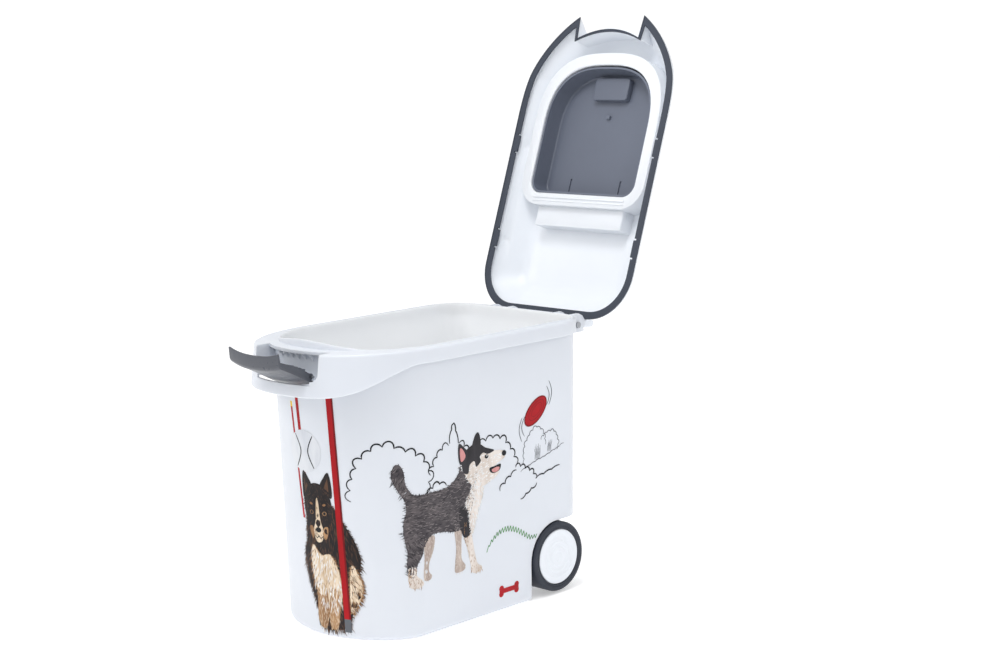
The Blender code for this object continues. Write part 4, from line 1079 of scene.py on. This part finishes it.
def print_ball():
    """A play ball: a pale disc with two curved seams."""
    along, up, radius = -208, 237, 27
    patch("print_ball", [ellipse(along, up, radius, radius, steps=64)], 4, BALL_INK)
    seams = [curve_through([(along + side * 15, up + 21), (along + side * 6, up),
                            (along + side * 15, up - 21)], False)
             for side in (-1, 1)]
    patch("print_ball_seams", [stroke(seam, 1.8) for seam in seams], 5, BLACK_INK)


def bone_outline(along, up, half, thick):
    """A plain bone: a bar with two round knobs at each end."""
    knob = thick * 1.25
    right = [(half - knob, thick), *arc(half, thick * 1.1, knob, math.radians(170), math.radians(-30), 10),
             *arc(half, -thick * 1.1, knob, math.radians(30), math.radians(-170), 10), (half - knob, -thick)]
    return [(along + a, up + b) for a, b in right + [(-a, -b) for a, b in right]]


def print_garden():
    bushes = [lobed([(-143, 178), (-142, 202), (-128, 232), (-104, 247), (-78, 240), (-54, 226), (-42, 206),
                     (-47, 182)], 13, 7.5),
              lobed([(-40, 204), (-27, 228), (-10, 236)], 4, 6.5),
              lobed([(-8, 238), (-3, 262), (7, 236)], 3, 2.2),
              lobed([(8, 236), (22, 226), (32, 214)], 3, 6.0),
              lobed([(44, 226), (66, 232), (88, 226), (106, 206), (112, 188)], 7, 6.5),
              lobed([(-44, 178), (-30, 190), (-12, 186)], 3, 5.5),
              lobed([(84, 160), (98, 172), (114, 182)], 3, 5.0),
              lobed([(112, 186), (126, 184), (142, 174), (152, 164)], 5, 5.0),
              lobed([(152, 158), (140, 152), (122, 142)], 3, 3.0),
              lobed([(150, 164), (168, 168), (196, 174)], 3, 2.2)]
    patch("print_bushes", [stroke(line, 2.0) for line in bushes], 2, BLACK_INK)
    far = [lobed([(130, 186), (128, 206), (138, 224), (152, 232), (164, 222), (168, 206)], 11, 3.2),
           lobed([(160, 214), (172, 222), (186, 220), (192, 206), (190, 196)], 8, 2.8),
           lobed([(122, 178), (146, 186), (172, 192), (204, 202)], 9, 1.4)]
    patch("print_far_bushes", [stroke(line, 1.0) for line in far], 2, GREY_INK)
    shade = [stroke([(148 + k * 1.3, 190), (149 + k * 1.3, 198), (147 + k * 1.6, 204 + (k % 3) * 3)], 0.5)
             for k in range(8)]
    shade += [stroke([(172 + k * 1.4, 196), (173 + k * 1.2, 203), (174 + k * 1.4, 208 + (k % 2) * 3)], 0.5)
              for k in range(6)]
    patch("print_far_shading", shade, 2, GREY_INK)
    blades = []
    for k in range(19):
        t = k / 18
        a, b = 62 + 88 * t, 84 + 20 * math.sin(math.pi * min(t * 1.15, 1.0) ** 0.8)
        blades += [(a, b), (a + 3.2, b + 8.5 - 3.5 * t)]
    patch("print_grass", [stroke(blades[k:k + 2], 2.2) for k in range(len(blades) - 1)], 2, GREEN_INK)


def print_toys():
    along, up, tilt = 149, 254, 38
    patch("print_disc", [ellipse(along, up, 25, 14, tilt)], 1, RED_INK)
    patch("print_disc_shade", ring_stroke(along, up, 25, 14, 2.0, tilt), 2, DEEP_RED)
    patch("print_disc_rings", ring_stroke(along + 1.5, up + 1.2, 17.5, 9.2, 0.9, tilt)
          + ring_stroke(along + 2, up + 1.6, 12, 6.0, 0.7, tilt), 2, DEEP_RED)
    sweeps = []
    for reach, size in ((31, 13), (37, 16)):
        for side in (-1, 1):
            a = math.radians(tilt if side > 0 else tilt + 180)
            base = (along + reach * math.cos(a), up + reach * math.sin(a) * 0.9)
            sweeps.append(stroke([(base[0] + side * (-6 + 9 * math.sin(math.pi * j / 8)) * 0.6,
                                   base[1] - size + 2 * size * j / 8) for j in range(9)], 1.1))
    patch("print_disc_motion", sweeps, 2, GREY_INK)
    patch("print_small_bone", [bone_outline(103, 26, 13.5, 3.3)], 1, RED_INK)


def print_puppy():
    back = soft_shape((-89, 222), (-82, 222), (-77, 212), (-75, 198), (-68, 186), (-58, 182), (-36, 182),
                      (-12, 183), (2, 190), (12, 202), (20, 214), (40, 206), (44, 186), (38, 166), (33, 148),
                      (27, 132), (16, 124), (2, 124), (-18, 128), (-36, 127), (-46, 116), (-50, 104),
                      (-58, 92), (-60, 80), (-70, 80), (-73, 94), (-72, 110), (-76, 126), (-78, 146),
                      (-74, 164), (-77, 178), (-86, 192), (-93, 208))
    patch("puppy_coat", [back], 3, GREY_COAT)
    hind_near = soft_shape((-71, 90), (-59, 90), (-58, 80), (-50, 74), (-46, 68), (-52, 64), (-64, 64),
                           (-70, 70))
    hind_far = soft_shape((-46, 122), (-30, 126), (-31, 108), (-37, 94), (-37, 82), (-32, 76), (-35, 71),
                          (-45, 72), (-47, 82), (-46, 96))
    fore_near = soft_shape((18, 132), (30, 130), (36, 108), (41, 88), (46, 74), (54, 68), (51, 62), (38, 63),
                           (34, 74), (29, 92), (22, 112))
    fore_far = soft_shape((4, 130), (16, 126), (17, 104), (18, 86), (25, 76), (22, 70), (8, 70), (7, 82),
                          (8, 102))
    patch("puppy_far_legs", [hind_far, fore_far], 2, FAR_COAT)
    patch("puppy_near_legs", [hind_near, fore_near], 4, PALE_COAT)
    upper_leg = soft_shape((12, 150), (26, 152), (31, 132), (33, 116), (22, 112), (14, 128))
    patch("puppy_shoulder", [upper_leg], 5, GREY_COAT_DARK)
    chest = soft_shape((40, 188), (50, 182), (54, 166), (48, 148), (42, 130), (36, 114), (31, 126), (28, 144),
                       (22, 156), (30, 170))
    patch("puppy_chest", [chest], 6, PALE_COAT)
    neck = soft_shape((10, 196), (16, 214), (34, 220), (50, 204), (52, 184), (40, 176), (24, 178))
    patch("puppy_neck", [neck], 5, GREY_COAT)
    skull = soft_shape((14, 206), (16, 220), (28, 228), (42, 230), (56, 222), (70, 216), (84, 214), (91, 210),
                       (92, 204), (84, 200), (72, 194), (76, 188), (82, 188), (78, 182), (64, 176), (46, 172),
                       (28, 182))
    patch("puppy_head", [skull], 7, PALE_COAT)
    patch("puppy_head_light", fur(skull, 170, 5, lambda s, z: 200, 30, 1.2), 8, WHITE_INK)
    cap = soft_shape((14, 206), (16, 220), (28, 228), (42, 230), (56, 222), (72, 216), (60, 213), (52, 216),
                     (46, 212), (48, 206), (40, 200), (36, 208), (28, 204), (26, 194), (18, 196))
    patch("puppy_cap", [cap], 9, GREY_COAT_DARK)
    ears = [soft_shape((11, 208), (7, 222), (8, 235), (17, 229), (25, 220), (20, 210)),
            soft_shape((32, 226), (36, 240), (42, 244), (46, 236), (46, 226))]
    patch("puppy_ears", ears, 10, GREY_COAT_DARK)
    patch("puppy_ear_inside", [soft_shape((13, 211), (10, 222), (11, 229), (17, 224), (20, 216))], 11,
          SKIN_INK)
    patch("puppy_mouth", [soft_shape((64, 194), (74, 195), (84, 196), (83, 189), (74, 186), (66, 188))], 10,
          BLACK_INK)
    patch("puppy_tongue", [soft_shape((68, 191), (76, 193), (82, 192), (80, 188), (72, 187))], 11, SKIN_INK)
    patch("puppy_nose", [ellipse(90, 209, 4.2, 3.6, -20)], 10, BLACK_INK)
    patch("puppy_eye_rim", [ellipse(58, 210, 3.4, 2.6, -10)], 10, BLACK_INK)
    patch("puppy_eye_light", [ellipse(58.8, 210.8, 0.9, 0.8)], 11, WHITE_INK)
    along_back = lambda s, z: 180 + 60 * (s < -72 and z > 170) - 40 * (z < 125)
    patch("puppy_hair_dark", fur(back, 520, 7, along_back, 3) + edge_fur(back, 2.2, 2.6, 4), 6,
          GREY_COAT_DARK)
    patch("puppy_hair_light", fur(back, 380, 6, along_back, 5, 0.7), 7, GREY_COAT_LIGHT)
    patch("puppy_leg_hair", sum((fur(leg, 60, 4, lambda s, z: -85, 6, 0.6) for leg in (hind_near, fore_near)),
                                []), 8, TAN_COAT)
    patch("puppy_far_leg_hair", sum((fur(leg, 70, 4, lambda s, z: -85, 7, 0.6)
                                     for leg in (hind_far, fore_far)), []), 3, PALE_COAT)
    patch("puppy_chest_hair", edge_fur(chest, 1.8, 3.2, 8, -0.4), 6, WHITE_INK)
    patch("puppy_chest_light", fur(chest, 130, 5, lambda s, z: -80, 9, 1.1), 8, WHITE_INK)
    patch("puppy_neck_hair", fur(neck, 120, 5, lambda s, z: -110, 10, 0.7), 6, GREY_COAT_DARK)


def print_long_haired_dog():
    mane = soft_shape((-212, 150), (-206, 172), (-196, 186), (-182, 182), (-170, 172), (-160, 158),
                      (-148, 140), (-138, 122), (-133, 102), (-135, 84), (-130, 66), (-136, 50), (-146, 34),
                      (-153, 16), (-172, 10), (-194, 12), (-203, 40), (-212, 62), (-218, 84), (-220, 108),
                      (-214, 124))
    patch("dog_coat", [mane], 3, BLACK_COAT)
    flank = soft_shape((-146, 96), (-136, 84), (-131, 66), (-137, 48), (-148, 34), (-150, 60))
    patch("dog_flank", [flank], 4, CREAM_COAT)
    chest = soft_shape((-204, 118), (-190, 106), (-176, 108), (-166, 92), (-160, 66), (-164, 44), (-176, 34),
                       (-190, 40), (-202, 62), (-208, 92))
    patch("dog_chest", [chest], 5, CREAM_COAT)
    legs = [soft_shape((-198, 66), (-186, 66), (-182, 40), (-186, 14), (-196, 11), (-202, 24), (-201, 46)),
            soft_shape((-178, 62), (-166, 60), (-165, 36), (-170, 13), (-180, 12), (-182, 30))]
    patch("dog_legs", legs, 6, TAN_COAT)
    head = soft_shape((-214, 160), (-213, 180), (-204, 194), (-192, 198), (-179, 193), (-171, 178),
                      (-170, 156), (-178, 134), (-187, 118), (-196, 117), (-206, 136))
    patch("dog_head", [head], 8, BLACK_COAT)
    ears = [soft_shape((-214, 176), (-216, 196), (-213, 212), (-205, 204), (-200, 192)),
            soft_shape((-186, 193), (-180, 206), (-173, 213), (-169, 198), (-170, 180))]
    patch("dog_ears", ears, 9, BLACK_COAT)
    patch("dog_ear_inside", [[(-211, 184), (-213, 203), (-206, 194)],
                             [(-180, 193), (-174, 206), (-173, 188)]], 10, BROWN_COAT)
    blaze = soft_shape((-193.5, 176), (-190.5, 176), (-188, 150), (-184, 138), (-187, 124), (-196, 123),
                       (-200, 137), (-196, 150))
    patch("dog_blaze", [blaze], 9, CREAM_COAT)
    cheeks = [soft_shape((-206, 142), (-201, 141), (-199, 132), (-202, 126), (-206, 134)),
              soft_shape((-183, 141), (-177, 143), (-177, 134), (-181, 126), (-185, 132))]
    patch("dog_cheeks", cheeks, 9, TAN_COAT)
    patch("dog_nose", [ellipse(-192, 138, 4.4, 3.4)], 11, BLACK_INK)
    patch("dog_mouth", [stroke(curve_through([(-199, 131), (-195, 127.5), (-192, 130), (-189, 127.5),
                                              (-184, 131)], False), 1.2)],
          11, BLACK_INK)
    patch("dog_brows", [ellipse(-202, 171, 2.6, 1.5, -15), ellipse(-181, 171, 2.6, 1.5, 15)], 11, TAN_COAT)
    patch("dog_eyes", [ellipse(-202, 160, 3.2, 2.6, -12), ellipse(-181, 160, 3.2, 2.6, 12)], 12, TAN_COAT)
    patch("dog_pupils", [ellipse(-202, 160, 2.1, 2.1), ellipse(-181, 160, 2.1, 2.1)], 13, BLACK_INK)
    fall = lambda s, z: -90 + (s + 175) * 0.9
    patch("dog_coat_hair", fur(mane, 520, 10, fall, 11, 1.1) + edge_fur(mane, 1.8, 5.0, 12, -0.5), 4,
          BROWN_COAT)
    patch("dog_coat_edge", edge_fur(mane, 1.4, 4.0, 13, -0.4), 3, BLACK_COAT)
    patch("dog_chest_hair", edge_fur(chest, 1.5, 6.0, 14, -0.8) + fur(chest, 90, 8, fall, 15, 0.8), 7,
          TAN_COAT)
    patch("dog_chest_light", fur(chest, 160, 9, fall, 16, 0.9), 8, WHITE_INK)
    patch("dog_flank_hair", edge_fur(flank, 1.5, 5.0, 17, -0.6) + fur(flank, 70, 7, fall, 18, 0.7), 5,
          TAN_COAT)
    patch("dog_leg_hair", sum((fur(leg, 70, 6, lambda s, z: -88, 19, 0.7) for leg in legs), []), 7,
          CREAM_COAT)
    patch("dog_head_hair", fur(head, 150, 5, lambda s, z: -90 + (s + 192) * 3, 20, 0.7), 9, BROWN_COAT)


# ---- the bin ----
def paint_inside_lighter(tub, material):
    """Paints the food space a lighter copy of the white plastic where the walls face inwards, and on its
    floor: painted light for the brighter inside.
    """
    tub.data.materials.append(material)
    middle = Vector((0, (NECK_PLAN[1] + NECK_PLAN[3]) / 2))
    for face in tub.data.polygons:
        place, facing = face.center, face.normal
        inwards = facing.xy.dot(place.xy - middle) < -0.002 and abs(facing.z) < 0.8
        low = facing.z > 0.8 and place.z < 0.01
        within = abs(place.x) < NECK_PLAN[0] - 0.001 and FOOD_FRONT_Y < place.y < NECK_PLAN[1] - 0.001
        if (inwards or low) and within:
            face.material_index = 1


def dress_bin():
    tub = make_tub()
    dress(tub, "tub", WHITE_SHELL, ["tub"])
    paint_inside_lighter(tub, WHITE_INSIDE_PAINTED_LIGHT)
    dress(make_lid(), "lid", WHITE_LID, ["lid"])
    dress(make_trim(), "lid", SLATE, ["lid_trim"])
    dress(make_flap(), "flap", FLAP_SLATE, ["feed_flap"])
    dress(make_latch_cover(), "latch", LATCH_GREY, ["latch_cover"])
    dress(make_latch_lattice(), "latch", RIB_GREY, ["latch_lattice"])
    for side, label in ((1, "right"), (-1, "left")):
        tyre, hub, cap = (smooth(piece) for piece in make_wheel(side, label))
        dress(tyre, f"wheel_{label}", TYRE, [f"tyre_{label}"])
        dress(hub, f"wheel_{label}", HUB_GREY, [f"wheel_hub_{label}"])
        dress(cap, f"wheel_{label}", CAP_WHITE, [f"wheel_disc_{label}"])
        for name in ("lid_hinge_pin", "latch_pin", "flap_pin", "axle", "axle_retainer"):
            part = frame["nodes"][f"{name}_{label}"]
            for material_slot in part.material_slots:
                material_slot.material = STEEL


def print_film():
    print_poles()
    print_ball()
    print_garden()
    print_toys()
    print_puppy()
    print_long_haired_dog()


# ---- studio ----
AMBIENT, BACKDROP = 0.70, 1.05                  # the world's strength as light, and as the camera sees it
FLOOR_R, FLOOR_DROP, FLOOR_GLOW = 9.0, 0.0005, 0.38
CAMERA_PLACE, CAMERA_LENS = (1.8054, -1.6055, 0.7545), 68.7
CAMERA_ANGLES = (44.83, 9.27, -1.56)            # degrees: turn, tilt down and roll


def add_floor():
    mesh = bpy.data.meshes.new("floor")
    bm = bmesh.new()
    bmesh.ops.create_circle(bm, cap_ends=True, radius=FLOOR_R, segments=96)
    bm.to_mesh(mesh)
    bm.free()
    floor = placed("floor", mesh)
    floor.location.z = -FLOOR_DROP
    material = bpy.data.materials.new("studio_paper")
    material.use_nodes = True
    shader = material.node_tree.nodes["Principled BSDF"]
    shader.inputs["Base Color"].default_value = (0.93, 0.93, 0.935, 1)
    shader.inputs["Roughness"].default_value = 0.75
    shader.inputs["Emission Color"].default_value = (1, 1, 1, 1)
    shader.inputs["Emission Strength"].default_value = FLOOR_GLOW
    floor.data.materials.append(material)


def add_light(name, place, target, size, power, colour=(1, 1, 1)):
    light = bpy.data.lights.new(name, "AREA")
    light.shape, light.size, light.energy, light.color = "DISK", size, power, colour
    obj = placed(name, light)
    obj.location = place
    obj.rotation_euler = (Vector(target) - Vector(place)).to_track_quat("-Z", "Y").to_euler()


def add_studio():
    add_floor()
    world = bpy.data.worlds.new("studio")
    bpy.context.scene.world = world
    world.use_nodes = True
    background = world.node_tree.nodes["Background"]
    background.inputs["Color"].default_value = (1, 1, 1, 1)
    seen = node(world.node_tree, "LightPath").outputs["Is Camera Ray"]
    lit = spread_to(world.node_tree, seen, AMBIENT, BACKDROP, 0, 1)
    world.node_tree.links.new(lit, background.inputs["Strength"])
    add_light("key", (-1.2, -2.4, 2.4), (0, 0.1, 0.35), 1.6, 22, (1.0, 0.99, 0.98))
    add_light("top", (0.35, -0.45, 1.9), (-0.08, 0.10, 0.25), 0.7, 13)
    add_light("rim", (2.4, 1.6, 1.6), (0, 0.1, 0.3), 1.2, 8, (0.95, 0.97, 1.0))
    bpy.context.scene.view_settings.view_transform = "Standard"


def add_camera():
    """The studio view: a little above the rim, from the near front corner."""
    turn, tilt, roll = (math.radians(a) for a in CAMERA_ANGLES)
    camera = placed("camera", bpy.data.cameras.new("camera"))
    look = Vector((-math.sin(turn) * math.cos(tilt), math.cos(turn) * math.cos(tilt), -math.sin(tilt)))
    turned_to = look.to_track_quat("-Z", "Y").to_matrix() @ Matrix.Rotation(roll, 3, "Z")
    camera.matrix_world = Matrix.Translation(CAMERA_PLACE) @ turned_to.to_4x4()
    camera.data.lens, camera.data.sensor_width = CAMERA_LENS, 36
    bpy.context.scene.camera = camera


add_camera()
dress_bin()
print_film()
add_studio()
